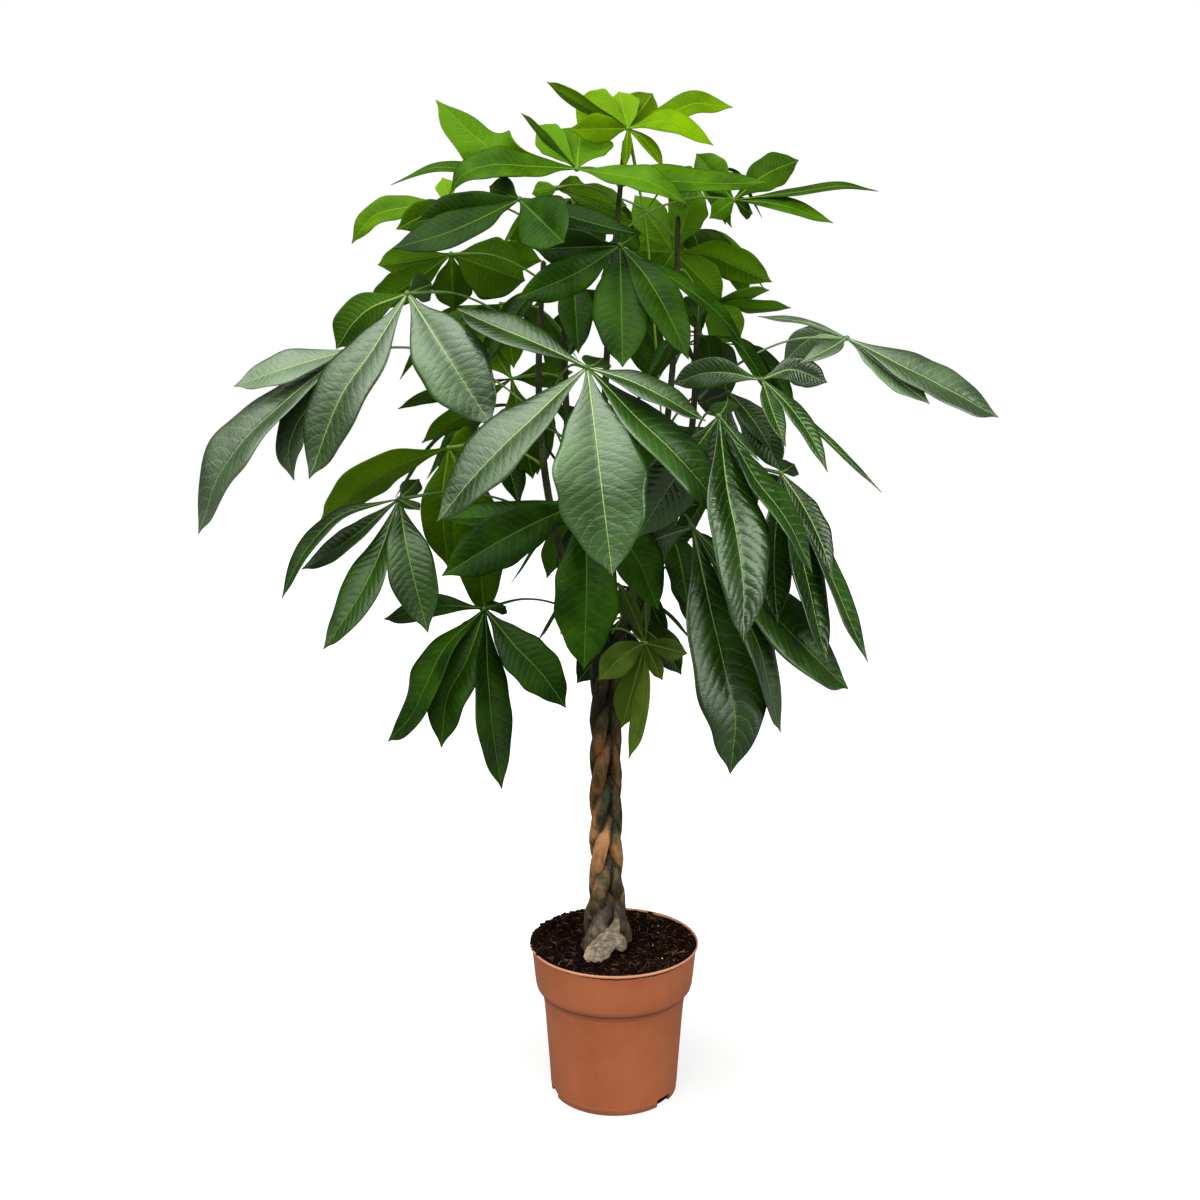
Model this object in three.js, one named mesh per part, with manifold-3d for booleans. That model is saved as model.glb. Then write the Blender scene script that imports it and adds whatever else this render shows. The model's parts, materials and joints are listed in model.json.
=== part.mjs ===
// A potted money tree: five stems braided into one trunk, in a round plastic nursery pot.
// Millimetres, +Z up. The origin is the centre of the pot's underside, and the tree's
// front faces -Y.
//
// The crown is laid out as a grower sees it from the front: each leaf has a hub and each
// leaflet a few points, as x and z on the plane of the trunk. A point is then brought
// towards the viewer, or sent away, along its own line of sight.

import * as THREE from "three";
import Module from "manifold-3d";

const wasm = await Module();
wasm.setup();

// ---- Driving dimensions ----

const POT_HEIGHT = 222;
const POT_WALL = 2.4;
const POT_FLOOR = 3;
const BASE_RADIUS = 90;
const SHOULDER = { radius: 100, height: 141 };
const BAND_FOOT = { radius: 111, height: 163 };
const BAND_TOP_RADIUS = 117.5;
const LIP = { radius: 119.5, height: 5 };
const POT_SIDES = 36;
const FOOT_CHAMFER = 2;
const UNDERSIDE_CURVE_HEIGHT = 149;
const NOTCH = { width: 28, height: 12, depth: 16, angles: [-161, -39, 81] };

const SOIL_TOP = 214;
const SOIL_HEAP = 6;
const SOIL_HEAP_RADIUS = 90;
const SOIL_LUMP = 1.6;
const SOIL_RINGS = [0.84, 0.62, 0.36];
const SOIL_SIDES = POT_SIDES / 2;
const CLEARANCE = 0.35;
const HOLE_CLEARANCE = 0.4;

const STEM_FOOT = 178;
const BRAID_TOP = 622;
const BRAID_TURN = 290;
const BRAID_CENTRE_X = -11;
const BRAID_HALF_WIDTH = 13.4;
const BRAID_HALF_DEPTH = 11.2;
const STEM_RADIUS = { foot: 12.2, top: 11.2 };
const SHOOT_RADIUS = 6.4;
const FLARE = { foot: 198, height: 120, spread: 7, radius: 6 };
const SPLIT_HEIGHT = 70;
const STEM_POINT = 4;
const STEM_SIDES = 7;
const BRAID_STEP = 12;
const SHOOT_STEP = 66;
const STEM_GAP = 0.4;

const EYE = new THREE.Vector3(-20, -2000, 1100);
const BLADE_THICKNESS = 1.5;
const LEAF_CLEARANCE = 1.2;
const PETIOLE_RADIUS = 2.1;
const PETIOLE_SPACING = 21;
const LOWEST_PETIOLE = BRAID_TOP + 30;
const HUB_RADIUS = 5;

const UP = new THREE.Vector3(0, 0, 1);

// ---- Solids ----

const lerp = THREE.MathUtils.lerp;
const smooth = (x) => THREE.MathUtils.smoothstep(x, 0, 1);

function solidOf({ points, triangles }) {
  const vertProperties = new Float32Array(points.flatMap((p) => [p.x, p.y, p.z]));
  const triVerts = new Uint32Array(triangles.flat());
  return new wasm.Manifold(new wasm.Mesh({ numProp: 3, vertProperties, triVerts }));
}

function signedVolume(points, triangles) {
  const cross = new THREE.Vector3();
  return triangles.reduce((sum, [a, b, c]) => {
    return sum + cross.crossVectors(points[b], points[c]).dot(points[a]);
  }, 0);
}

// Rings of equal size joined into a skin, with a point at each end. The second half of
// each ring splits its quads the other way, so the two faces of a blade split alike.
function loft(first, rings, last) {
  const count = rings[0].length;
  const points = [first, ...rings.flat(), last];
  const lastIndex = points.length - 1;
  const at = (ring, side) => 1 + ring * count + (side % count);
  const triangles = [];
  for (let side = 0; side < count; side++) {
    triangles.push([0, at(0, side + 1), at(0, side)]);
    triangles.push([lastIndex, at(rings.length - 1, side), at(rings.length - 1, side + 1)]);
    for (let ring = 0; ring + 1 < rings.length; ring++) {
      const a = at(ring, side);
      const b = at(ring, side + 1);
      const c = at(ring + 1, side + 1);
      const d = at(ring + 1, side);
      if (side < count / 2) triangles.push([a, b, c], [a, c, d]);
      else triangles.push([a, b, d], [b, c, d]);
    }
  }
  if (signedVolume(points, triangles) < 0) triangles.forEach((t) => t.reverse());
  return { points, triangles };
}

function skinOfGeometry(geometry) {
  const position = geometry.getAttribute("position");
  const keys = new Map();
  const points = [];
  const merged = [];
  for (let i = 0; i < position.count; i++) {
    const point = new THREE.Vector3().fromBufferAttribute(position, i);
    const key = point.toArray().map((v) => Math.round(v * 1000)).join();
    if (!keys.has(key)) {
      keys.set(key, points.length);
      points.push(point);
    }
    merged.push(keys.get(key));
  }
  const corners = geometry.index ? Array.from(geometry.index.array, (i) => merged[i]) : merged;
  const triangles = [];
  for (let i = 0; i < corners.length; i += 3) {
    const [a, b, c] = corners.slice(i, i + 3);
    if (a !== b && b !== c && c !== a) triangles.push([a, b, c]);
  }
  if (signedVolume(points, triangles) < 0) triangles.forEach((t) => t.reverse());
  return { points, triangles };
}

const solidOfGeometry = (geometry) => solidOf(skinOfGeometry(geometry));

// Drops the loose scraps that a cut leaves.
function largestBody(solid) {
  return solid.decompose().reduce((best, body) => (body.volume() > best.volume() ? body : best));
}

function addMesh(group, name, solid, material) {
  const made = solid.getMesh();
  const geometry = new THREE.BufferGeometry();
  geometry.setAttribute("position", new THREE.BufferAttribute(made.vertProperties, 3));
  geometry.setIndex(new THREE.BufferAttribute(made.triVerts, 1));
  geometry.computeVertexNormals();
  const mesh = new THREE.Mesh(geometry, material);
  mesh.name = name;
  group.add(mesh);
}

// ---- Materials ----

const surface = (color, roughness) =>
  new THREE.MeshStandardMaterial({ color, roughness, metalness: 0 });
const terracottaPlastic = surface("#a45f3c", 0.55);
const pottingSoil = surface("#241812", 0.95);
const bark = surface("#77643c", 0.85);
const leafColours = {
  mature: surface("#2c5230", 0.35),
  mid: surface("#43782c", 0.42),
  young: surface("#6fb32a", 0.45),
};

// ---- Pot and soil ----

function lathe(profile, sides) {
  const outline = profile.map(([radius, height]) => new THREE.Vector2(radius, height));
  return solidOfGeometry(new THREE.LatheGeometry(outline, sides).rotateX(Math.PI / 2));
}

// Radius of the pot's outside at a height, along the body and up the band.
function potRadius(height) {
  if (height < SHOULDER.height)
    return lerp(BASE_RADIUS, SHOULDER.radius, height / SHOULDER.height);
  if (height < BAND_FOOT.height) {
    const share = (height - SHOULDER.height) / (BAND_FOOT.height - SHOULDER.height);
    return lerp(SHOULDER.radius, BAND_FOOT.radius, Math.sin((share * Math.PI) / 2));
  }
  const share = (height - BAND_FOOT.height) / (POT_HEIGHT - BAND_FOOT.height);
  return lerp(BAND_FOOT.radius, BAND_TOP_RADIUS, share);
}

const WALL_HEIGHTS = [SHOULDER.height, UNDERSIDE_CURVE_HEIGHT, BAND_FOOT.height];

function makePot() {
  const lipFoot = POT_HEIGHT - LIP.height;
  const outside = [[0, 0], [BASE_RADIUS - FOOT_CHAMFER, 0], [BASE_RADIUS, FOOT_CHAMFER]];
  WALL_HEIGHTS.forEach((height) => outside.push([potRadius(height), height]));
  outside.push([potRadius(lipFoot - 1), lipFoot - 1], [LIP.radius, lipFoot]);
  outside.push([LIP.radius, POT_HEIGHT - 1], [LIP.radius - 1, POT_HEIGHT]);
  const inside = [[potRadius(POT_HEIGHT) - POT_WALL, POT_HEIGHT]];
  [...WALL_HEIGHTS].reverse().forEach((height) => {
    inside.push([potRadius(height) - POT_WALL, height]);
  });
  inside.push([BASE_RADIUS - POT_WALL, POT_FLOOR], [0, POT_FLOOR]);
  let pot = lathe([...outside, ...inside], POT_SIDES);
  NOTCH.angles.forEach((angle) => {
    const box = new THREE.BoxGeometry(NOTCH.depth * 2, NOTCH.width, NOTCH.height * 2);
    box.translate(BASE_RADIUS + NOTCH.depth / 4, 0, 0);
    box.rotateZ(THREE.MathUtils.degToRad(angle));
    pot = pot.subtract(solidOfGeometry(box));
  });
  return pot;
}

// Height of the soil's uneven top, which rises towards the trunk and is level at the wall.
function soilHeight(x, y) {
  const radius = Math.hypot(x, y);
  const heap = SOIL_HEAP * (1 - smooth(radius / SOIL_HEAP_RADIUS));
  const lumps = SOIL_LUMP * (Math.sin(x / 11 + y / 17) + 0.8 * Math.cos(y / 9 - x / 23));
  return SOIL_TOP + heap + lumps * (1 - smooth((radius - SOIL_HEAP_RADIUS) / 20));
}

function makeSoil(stemHoles) {
  const foot = POT_FLOOR + CLEARANCE;
  const corner = BASE_RADIUS - NOTCH.depth;
  const walls = [[corner, foot], [corner, NOTCH.height + 1]];
  walls.push([potRadius(NOTCH.height + 1) - POT_WALL - CLEARANCE, NOTCH.height + 2]);
  [SHOULDER.height, BAND_FOOT.height, SOIL_TOP].forEach((height) => {
    walls.push([potRadius(height) - POT_WALL - CLEARANCE, height]);
  });
  const rimRadius = walls.at(-1)[0];
  const ring = (radius, height) =>
    Array.from({ length: SOIL_SIDES }, (_, i) => {
      const angle = (2 * Math.PI * i) / SOIL_SIDES + Math.PI / 2;
      const x = radius * Math.cos(angle);
      const y = radius * Math.sin(angle);
      return new THREE.Vector3(x, y, height ?? soilHeight(x, y));
    });
  const rings = walls.map(([radius, height]) => ring(radius, height));
  SOIL_RINGS.forEach((share) => rings.push(ring(rimRadius * share)));
  const top = new THREE.Vector3(0, 0, soilHeight(0, 0));
  const skin = loft(new THREE.Vector3(0, 0, foot), rings, top);
  return largestBody(stemHoles.reduce((rest, hole) => rest.subtract(hole), solidOf(skin)));
}

// ---- Braided stems ----

// Where each stem's own shoot ends above the braid, how it bows on the way, and its radius
// at the tip.
const STEMS = [
  { name: "stem_centre", end: [12, 8, 1316], bow: [-14, 6], tip: 3.2 },
  { name: "stem_right_back", end: [86, 96, 1226], bow: [26, 14], tip: 3.4 },
  { name: "stem_right_front", end: [104, -48, 1086], bow: [34, -22], tip: 3.6 },
  { name: "stem_left_back", end: [-62, 104, 1248], bow: [-24, 26], tip: 3.4 },
  { name: "stem_left_front", end: [-92, -42, 1162], bow: [-34, -16], tip: 3.6 },
];

const flareAt = (height) => 1 - smooth((height - FLARE.foot) / FLARE.height);

function stemRadius(index, height) {
  const { end, tip } = STEMS[index];
  const braidShare = (height - FLARE.foot) / (BRAID_TOP - FLARE.foot);
  if (braidShare <= 1)
    return lerp(STEM_RADIUS.foot, STEM_RADIUS.top, braidShare) + FLARE.radius * flareAt(height);
  const slim = lerp(STEM_RADIUS.top, SHOOT_RADIUS, smooth((height - BRAID_TOP) / SPLIT_HEIGHT));
  return lerp(slim, tip, (height - BRAID_TOP) / (end[2] - BRAID_TOP));
}

// The braid: seen from above each stem runs round a figure of eight, a fifth of a turn
// behind the stem before it.
function strandCentre(index, height) {
  const turn = 2 * Math.PI * ((height - BRAID_TOP) / BRAID_TURN + index / STEMS.length);
  const spread = FLARE.spread * flareAt(height);
  const x = BRAID_CENTRE_X + (BRAID_HALF_WIDTH + spread) * Math.sin(turn);
  return new THREE.Vector3(x, (BRAID_HALF_DEPTH + spread) * Math.sin(2 * turn), height);
}

function stemCentre(index, height) {
  const strand = strandCentre(index, height);
  if (height <= BRAID_TOP) return strand;
  const start = strandCentre(index, BRAID_TOP);
  const { end, bow } = STEMS[index];
  const share = (height - BRAID_TOP) / (end[2] - BRAID_TOP);
  const arch = Math.sin(Math.PI * share);
  const x = lerp(start.x, end[0], share) + bow[0] * arch;
  const y = lerp(start.y, end[1], share) + bow[1] * arch;
  return strand.lerp(new THREE.Vector3(x, y, height), smooth((height - BRAID_TOP) / SPLIT_HEIGHT));
}

// The walls halfway between a stem and its neighbours at a height: the way each one faces,
// and how far it lies from a centre.
function wallsAt(index, height, centre) {
  const own = stemCentre(index, height);
  const radius = stemRadius(index, height);
  const neighbours = STEMS.map((_, other) => other)
    .filter((other) => other !== index && height < STEMS[other].end[2]);
  return neighbours.map((other) => {
    const between = stemCentre(other, height).sub(own);
    const facing = between.clone().normalize();
    const toWall = (between.length() * radius) / (radius + stemRadius(other, height));
    const offset = centre.clone().sub(own).dot(facing);
    return { facing, reach: toWall - STEM_GAP / 2 - offset };
  });
}

// A level section of a stem: round, but where stems press together each keeps to its own
// side of the walls just below and just above the level, and fills their corners.
const SECTOR_PLACES = [0, -0.4, 0.4, -0.2, 0.2];
const LEAST_SLOPE = 0.02;

function stemRing(index, levels, i, grown) {
  const height = levels[i];
  const centre = stemCentre(index, height);
  const radius = stemRadius(index, height);
  const slabs = [levels[i - 1] ?? height, levels[i + 1] ?? height];
  const walls = slabs.flatMap((next) => wallsAt(index, (height + next) / 2, centre));
  const reachTo = (angle, extra) => {
    const direction = new THREE.Vector3(Math.cos(angle), Math.sin(angle), 0);
    return walls.reduce((least, { facing, reach }) => {
      const slope = facing.dot(direction);
      return slope > LEAST_SLOPE ? Math.min(least, (reach + extra) / slope) : least;
    }, radius + extra);
  };
  return Array.from({ length: STEM_SIDES }, (_, side) => {
    const angles = SECTOR_PLACES.map((place) => {
      return (2 * Math.PI * (side + 0.5 * index + place)) / STEM_SIDES;
    });
    const angle = angles.reduce((best, other) => {
      return reachTo(other, 0) > reachTo(best, 0) + 0.1 ? other : best;
    });
    const direction = new THREE.Vector3(Math.cos(angle), Math.sin(angle), 0);
    return direction.multiplyScalar(reachTo(angle, grown)).add(centre);
  });
}

function stemHeights(index) {
  const heights = [];
  const top = STEMS[index].end[2];
  for (let height = STEM_FOOT; height < BRAID_TOP + SPLIT_HEIGHT; height += BRAID_STEP)
    heights.push(height);
  while (heights.at(-1) + 1.5 * SHOOT_STEP < top) heights.push(heights.at(-1) + SHOOT_STEP);
  heights.push(top);
  return heights;
}

function stemSkin(index) {
  const heights = stemHeights(index);
  const rings = heights.map((_, i) => stemRing(index, heights, i, 0));
  const foot = stemCentre(index, STEM_FOOT).setZ(STEM_FOOT - STEM_POINT);
  const tip = stemCentre(index, heights.at(-1)).setZ(heights.at(-1) + STEM_POINT);
  return loft(foot, rings, tip);
}

function makeStemHole(index) {
  const heights = stemHeights(index);
  const aboveSoil = heights.findIndex((height) => height > SOIL_TOP + 2 * SOIL_HEAP);
  const levels = heights.slice(0, aboveSoil + 1);
  const rings = levels.map((_, i) => stemRing(index, heights, i, HOLE_CLEARANCE));
  const foot = stemCentre(index, STEM_FOOT).setZ(STEM_FOOT - STEM_POINT - 1);
  const top = stemCentre(index, levels.at(-1)).setZ(levels.at(-1) + STEM_POINT);
  return solidOf(loft(foot, rings, top));
}

// ---- Crossing test ----

const edgeRay = new THREE.Ray();
const hitPoint = new THREE.Vector3();

function edgeCuts(from, to, [a, b, c]) {
  edgeRay.origin.copy(from);
  edgeRay.direction.subVectors(to, from);
  const length = edgeRay.direction.length();
  edgeRay.direction.divideScalar(length);
  const hit = edgeRay.intersectTriangle(a, b, c, false, hitPoint);
  return hit !== null && hit.distanceTo(from) <= length;
}

function trianglesCross(one, two) {
  for (let i = 0; i < 3; i++) {
    if (edgeCuts(one[i], one[(i + 1) % 3], two)) return true;
    if (edgeCuts(two[i], two[(i + 1) % 3], one)) return true;
  }
  return false;
}

// A skin ready for the crossing test: its triangles with their boxes.
function bodyOf({ points, triangles }, skip = () => false) {
  const faces = [];
  const box = new THREE.Box3();
  triangles.forEach((indices) => {
    if (skip(indices)) return;
    const corners = indices.map((i) => points[i]);
    const faceBox = new THREE.Box3().setFromPoints(corners);
    faces.push({ corners, box: faceBox });
    box.union(faceBox);
  });
  return { faces, box };
}

function bodiesCross(one, two) {
  if (!one.box.intersectsBox(two.box)) return false;
  return one.faces.some((face) => {
    if (!face.box.intersectsBox(two.box)) return false;
    return two.faces.some(
      (other) => face.box.intersectsBox(other.box) && trianglesCross(face.corners, other.corners),
    );
  });
}

const NOTHING = bodyOf({ points: [], triangles: [] });

// Pieces of one leaf may only meet at their roots; those of other leaves may not meet at all.
function isClear(piece, others) {
  return !others.some((other) => {
    if (other.owner === piece.owner) return bodiesCross(piece.beyondRoot, other.beyondRoot);
    return bodiesCross(piece.whole, other.whole);
  });
}

// ---- Leaf table ----

const upper = (width, forward, ...points) => ({ width, forward, points, side: 1 });
const under = (width, forward, ...points) => ({ width, forward, points, side: -1 });

// Hub: x and z on the trunk's plane, then the distance towards the viewer. Leaflet: its
// width as seen, how far its tip comes forward of the hub, and its points out to the tip.
const LEAVES = [
  { name: "leaf_front_centre", age: "mature", hub: [-37, 1028, 270], leaflets: [
    upper(118, 60, [-3, 748]),
    upper(65, 10, [-110, 965], [-180, 900], [-240, 822]),
    upper(40, -60, [-110, 1065], [-208, 1104]),
    upper(52, 30, [30, 965], [100, 900], [156, 820]),
    upper(30, 30, [40, 1005], [121, 957]),
    upper(30, -110, [-16, 1040]),
  ] },
  { name: "leaf_front_right", age: "mature", hub: [138, 964, 290], leaflets: [
    upper(70, 50, [147, 900], [165, 820], [178, 750], [176, 656]),
    upper(75, -70, [107, 920], [70, 865], [30, 800]),
    upper(32, -10, [200, 870], [240, 820], [268, 752]),
    upper(12, 60, [192, 905]),
    upper(34, -110, [150, 985]),
  ] },
  { name: "leaf_low_right", age: "mature", hub: [105, 815, 220], leaflets: [
    upper(92, 20, [118, 760], [147, 650], [170, 550], [161, 468]),
    upper(35, -10, [195, 670], [215, 600], [230, 528]),
    upper(60, -60, [60, 800], [5, 765]),
    upper(64, -60, [250, 668], [322, 590]),
  ] },
  { name: "leaf_right_hanging", age: "mature", hub: [222, 888, 190], leaflets: [
    upper(24, -10, [278, 788], [315, 708], [348, 627]),
    upper(38, 40, [262, 760], [292, 628]),
    upper(44, 20, [218, 790], [222, 681]),
    upper(14, -20, [262, 845], [292, 785]),
    upper(30, -90, [240, 900]),
  ] },
  { name: "leaf_front_left", age: "mature", hub: [-272, 1124, 170], leaflets: [
    upper(90, 60, [-164, 950]),
    upper(66, 10, [-310, 1068], [-368, 990], [-410, 880]),
    under(50, -60, [-330, 1100], [-368, 1052]),
    upper(40, -90, [-240, 1136]),
  ] },
  { name: "leaf_far_left", age: "mature", hub: [-345, 1052, 80], leaflets: [
    upper(38, 0, [-440, 1028], [-505, 1003]),
    upper(48, -10, [-434, 992], [-526, 905], [-562, 805]),
    upper(42, 20, [-404, 982], [-440, 925], [-430, 878]),
    upper(30, -90, [-350, 1070]),
  ] },
  { name: "leaf_middle_front", age: "mature", hub: [-42, 850, 170], leaflets: [
    upper(85, 30, [-38, 760], [-42, 617]),
    upper(70, 20, [-130, 810], [-235, 748]),
    upper(30, -20, [-150, 835], [-240, 828]),
    upper(60, 20, [20, 790], [60, 700]),
    upper(45, -70, [40, 850], [110, 845]),
  ] },
  { name: "leaf_middle_left", age: "mature", hub: [-290, 853, 120], leaflets: [
    upper(20, 0, [-375, 830], [-430, 770], [-453, 716]),
    upper(28, -20, [-360, 800], [-425, 757]),
    upper(45, 30, [-330, 760], [-365, 700], [-399, 646]),
    upper(62, 50, [-280, 780], [-255, 669]),
    upper(25, -80, [-262, 880]),
    upper(15, 60, [-262, 838]),
  ] },
  { name: "leaf_behind_middle_left", age: "mature", hub: [-222, 922, 30], leaflets: [
    under(42, 0, [-310, 892], [-397, 823]),
    upper(50, 20, [-232, 850], [-226, 760]),
    upper(60, 20, [-188, 840], [-176, 690]),
    upper(34, -60, [-180, 935]),
  ] },
  { name: "leaf_low_left", age: "mature", hub: [-177, 703, 120], leaflets: [
    upper(48, 40, [-170, 600], [-157, 446]),
    upper(56, 30, [-200, 640], [-232, 580], [-240, 506]),
    upper(40, 0, [-246, 636], [-276, 566], [-314, 515]),
    upper(62, 30, [-134, 648], [-96, 607], [-67, 563]),
    upper(32, -30, [-240, 708], [-315, 688]),
    upper(20, -80, [-148, 706]),
    under(30, -70, [-218, 645]),
  ] },
  { name: "leaf_trunk_top", age: "young", hub: [42, 655, 70], leaflets: [
    upper(42, 30, [15, 640], [-22, 603]),
    upper(24, 20, [38, 580], [20, 490]),
    upper(20, -20, [66, 602]),
    upper(30, -30, [100, 640]),
    upper(20, -20, [8, 735]),
    upper(8, -30, [46, 742]),
    under(44, -70, [30, 610], [10, 535]),
  ] },
  { name: "leaf_behind_trunk_top", age: "mature", hub: [10, 690, -60], leaflets: [
    upper(40, 10, [-15, 650], [-52, 598]),
    upper(36, 0, [60, 660], [92, 610]),
    upper(40, -60, [20, 640], [24, 580]),
  ] },
  { name: "leaf_upper_centre", age: "mature", hub: [6, 1185, 160], leaflets: [
    upper(72, 70, [10, 1028]),
    upper(48, 30, [-50, 1150], [-130, 1117]),
    upper(48, 50, [50, 1135], [80, 1080], [97, 1038]),
    upper(50, -70, [-105, 1180]),
    upper(18, -10, [110, 1122], [150, 1085], [172, 1050]),
    upper(36, -100, [30, 1200]),
  ] },
  { name: "leaf_upper_left", age: "mature", hub: [-124, 1243, 150], leaflets: [
    upper(75, 120, [-67, 1188]),
    upper(50, 10, [-260, 1214]),
    upper(42, 50, [-215, 1205], [-291, 1181]),
    upper(28, 50, [25, 1200]),
    upper(40, -110, [-163, 1259]),
  ] },
  { name: "leaf_right", age: "mature", hub: [194, 1012, 120], leaflets: [
    upper(38, -40, [230, 1025], [281, 1008]),
    upper(30, 10, [235, 965], [292, 905]),
    upper(22, 50, [213, 965], [228, 923]),
    upper(40, -40, [130, 1022], [75, 1006]),
    upper(8, -20, [298, 920], [358, 862]),
  ] },
  { name: "leaf_far_right", age: "mature", hub: [305, 1066, 60], leaflets: [
    upper(42, 10, [368, 1038], [440, 1004], [510, 962]),
    upper(30, 50, [340, 1040], [418, 980]),
    upper(38, -40, [265, 1070], [222, 1035]),
    upper(20, 50, [243, 1033]),
    upper(8, -60, [250, 1087], [187, 1094]),
  ] },
  { name: "leaf_inner_right", age: "mature", hub: [150, 995, 50], leaflets: [
    upper(20, 0, [213, 943]),
    upper(40, 20, [190, 950], [222, 890]),
    upper(40, -40, [110, 980]),
    upper(44, 0, [140, 900], [120, 840]),
  ] },
  { name: "leaf_back_left_high", age: "mid", hub: [-214, 1174, -70], leaflets: [
    under(35, -60, [-310, 1160]),
    under(38, -20, [-265, 1140], [-325, 1105]),
    under(46, -80, [-212, 1103]),
    under(70, -60, [-118, 1140]),
    under(40, -110, [-95, 1165]),
  ] },
  { name: "leaf_back_right_high", age: "mid", hub: [76, 1176, -120], leaflets: [
    under(40, -60, [25, 1248]),
    under(45, -60, [105, 1262]),
    under(38, 0, [130, 1172], [172, 1153], [205, 1138]),
    under(42, 20, [105, 1150], [140, 1114]),
    upper(25, 40, [50, 1140]),
    under(22, 0, [22, 1180]),
  ] },
  { name: "leaf_back_left", age: "mid", hub: [-137, 1013, -120], leaflets: [
    under(18, 0, [-215, 1000], [-289, 973]),
    under(26, 20, [-200, 970], [-258, 928]),
    under(28, 0, [-55, 1022]),
    under(45, -40, [-180, 1080]),
    upper(50, 0, [-120, 930], [-110, 880]),
  ] },
  { name: "leaf_back_right", age: "mid", hub: [120, 1110, -100], leaflets: [
    under(14, -20, [202, 1128]),
    under(15, 0, [231, 1105]),
    under(45, 20, [165, 1063]),
    under(40, -80, [90, 1090]),
  ] },
  { name: "leaf_top_right", age: "mid", hub: [153, 1242, -40], leaflets: [
    upper(44, -50, [104, 1300]),
    upper(44, -50, [190, 1272], [236, 1292]),
    upper(10, 0, [230, 1252], [275, 1262], [340, 1253]),
    upper(18, 30, [220, 1237], [283, 1213]),
    upper(20, -80, [178, 1225]),
    upper(25, 50, [122, 1219]),
  ] },
  { name: "leaf_top_front", age: "young", hub: [-50, 1281, 60], leaflets: [
    under(50, -30, [-156, 1298], [-197, 1333], [-230, 1366]),
    upper(12, 10, [-150, 1277], [-230, 1284], [-290, 1261]),
    upper(35, 30, [-140, 1288], [-190, 1284], [-214, 1250]),
    upper(30, 60, [50, 1265], [93, 1236]),
    upper(30, 0, [100, 1268], [198, 1264]),
    under(85, -80, [-45, 1334]),
    under(40, -80, [-100, 1335]),
    under(10, -60, [-121, 1350]),
  ] },
  { name: "leaf_top", age: "young", hub: [16, 1331, 0], leaflets: [
    upper(28, 0, [58, 1346], [95, 1363], [150, 1357]),
    upper(25, 40, [70, 1342], [126, 1310]),
    under(45, -90, [47, 1374]),
    under(46, -60, [4, 1376]),
    upper(35, 50, [-60, 1330]),
    under(58, -50, [-52, 1364]),
    under(18, -30, [-50, 1365], [-88, 1388]),
    upper(12, 30, [12, 1280]),
    upper(14, 30, [45, 1310], [62, 1280]),
  ] },
  { name: "leaf_top_left", age: "young", hub: [-215, 1240, 0], leaflets: [
    upper(30, -20, [-294, 1231], [-322, 1219], [-343, 1187]),
    under(25, -60, [-223, 1270]),
    upper(35, 30, [-285, 1205]),
  ] },
  { name: "leaf_top_back", age: "mid", hub: [-76, 1257, -60], leaflets: [
    under(25, -60, [-108, 1250]),
    under(25, -70, [-40, 1262]),
    under(35, -20, [15, 1235]),
    upper(12, 20, [28, 1212]),
  ] },
];

// Leaves turned to the back and inside of the crown: hub as above, the way the leaf leans
// in plan (degrees, 90 is straight back), and the length of its middle leaflet.
const fan = (name, age, hub, heading, length, count = 6) => ({
  name, age, hub, heading, length, count,
});
const FANS = [
  fan("leaf_inner_right_low", "mature", [66, 806, -60], 10, 170),
  fan("leaf_inner_right_high", "mature", [112, 1070, 30], 350, 140),
  fan("leaf_inner_left_high", "mature", [-58, 1130, -70], 190, 170),
  fan("leaf_inner_top_right", "mid", [104, 1276, -90], 30, 110),
  fan("leaf_back_1", "mid", [-50, 1244, -190], 110, 170),
  fan("leaf_back_2", "mid", [84, 1206, -230], 70, 180),
  fan("leaf_back_3", "mid", [-150, 1110, -200], 140, 190),
  fan("leaf_back_4", "mature", [-10, 1110, -300], 95, 210),
  fan("leaf_back_5", "mature", [128, 1060, -220], 60, 190),
  fan("leaf_back_6", "mature", [-120, 980, -280], 115, 220),
  fan("leaf_back_7", "mature", [60, 950, -310], 75, 230),
  fan("leaf_back_8", "mature", [-160, 950, -170], 150, 180),
  fan("leaf_back_9", "mature", [150, 890, -160], 45, 180),
  fan("leaf_back_10", "mature", [-16, 826, -240], 95, 200),
  fan("leaf_back_11", "mature", [96, 770, -170], 55, 200),
  fan("leaf_back_12", "mature", [4, 736, -150], 100, 170),
];

// ---- Leaflets ----

// A point seen at x and z on the trunk's plane, moved towards the viewer.
function seen(x, z, forward) {
  return new THREE.Vector3(x, 0, z).lerp(EYE, forward / -EYE.y);
}

// Share of a leaflet's full width from its stalk to its drawn-out tip.
const BROAD_OUTLINE = [[0.1, 0.16], [0.31, 0.7], [0.54, 1], [0.76, 0.8], [0.91, 0.38]];
const MIDDLE_OUTLINE = [[0.11, 0.18], [0.36, 0.8], [0.64, 0.97], [0.88, 0.46]];
const SLIM_OUTLINE = [[0.12, 0.22], [0.42, 0.94], [0.78, 0.74]];
const BROAD_WIDTH = 66;
const SLIM_WIDTH = 35;
const FOLD = 0.16;

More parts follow.
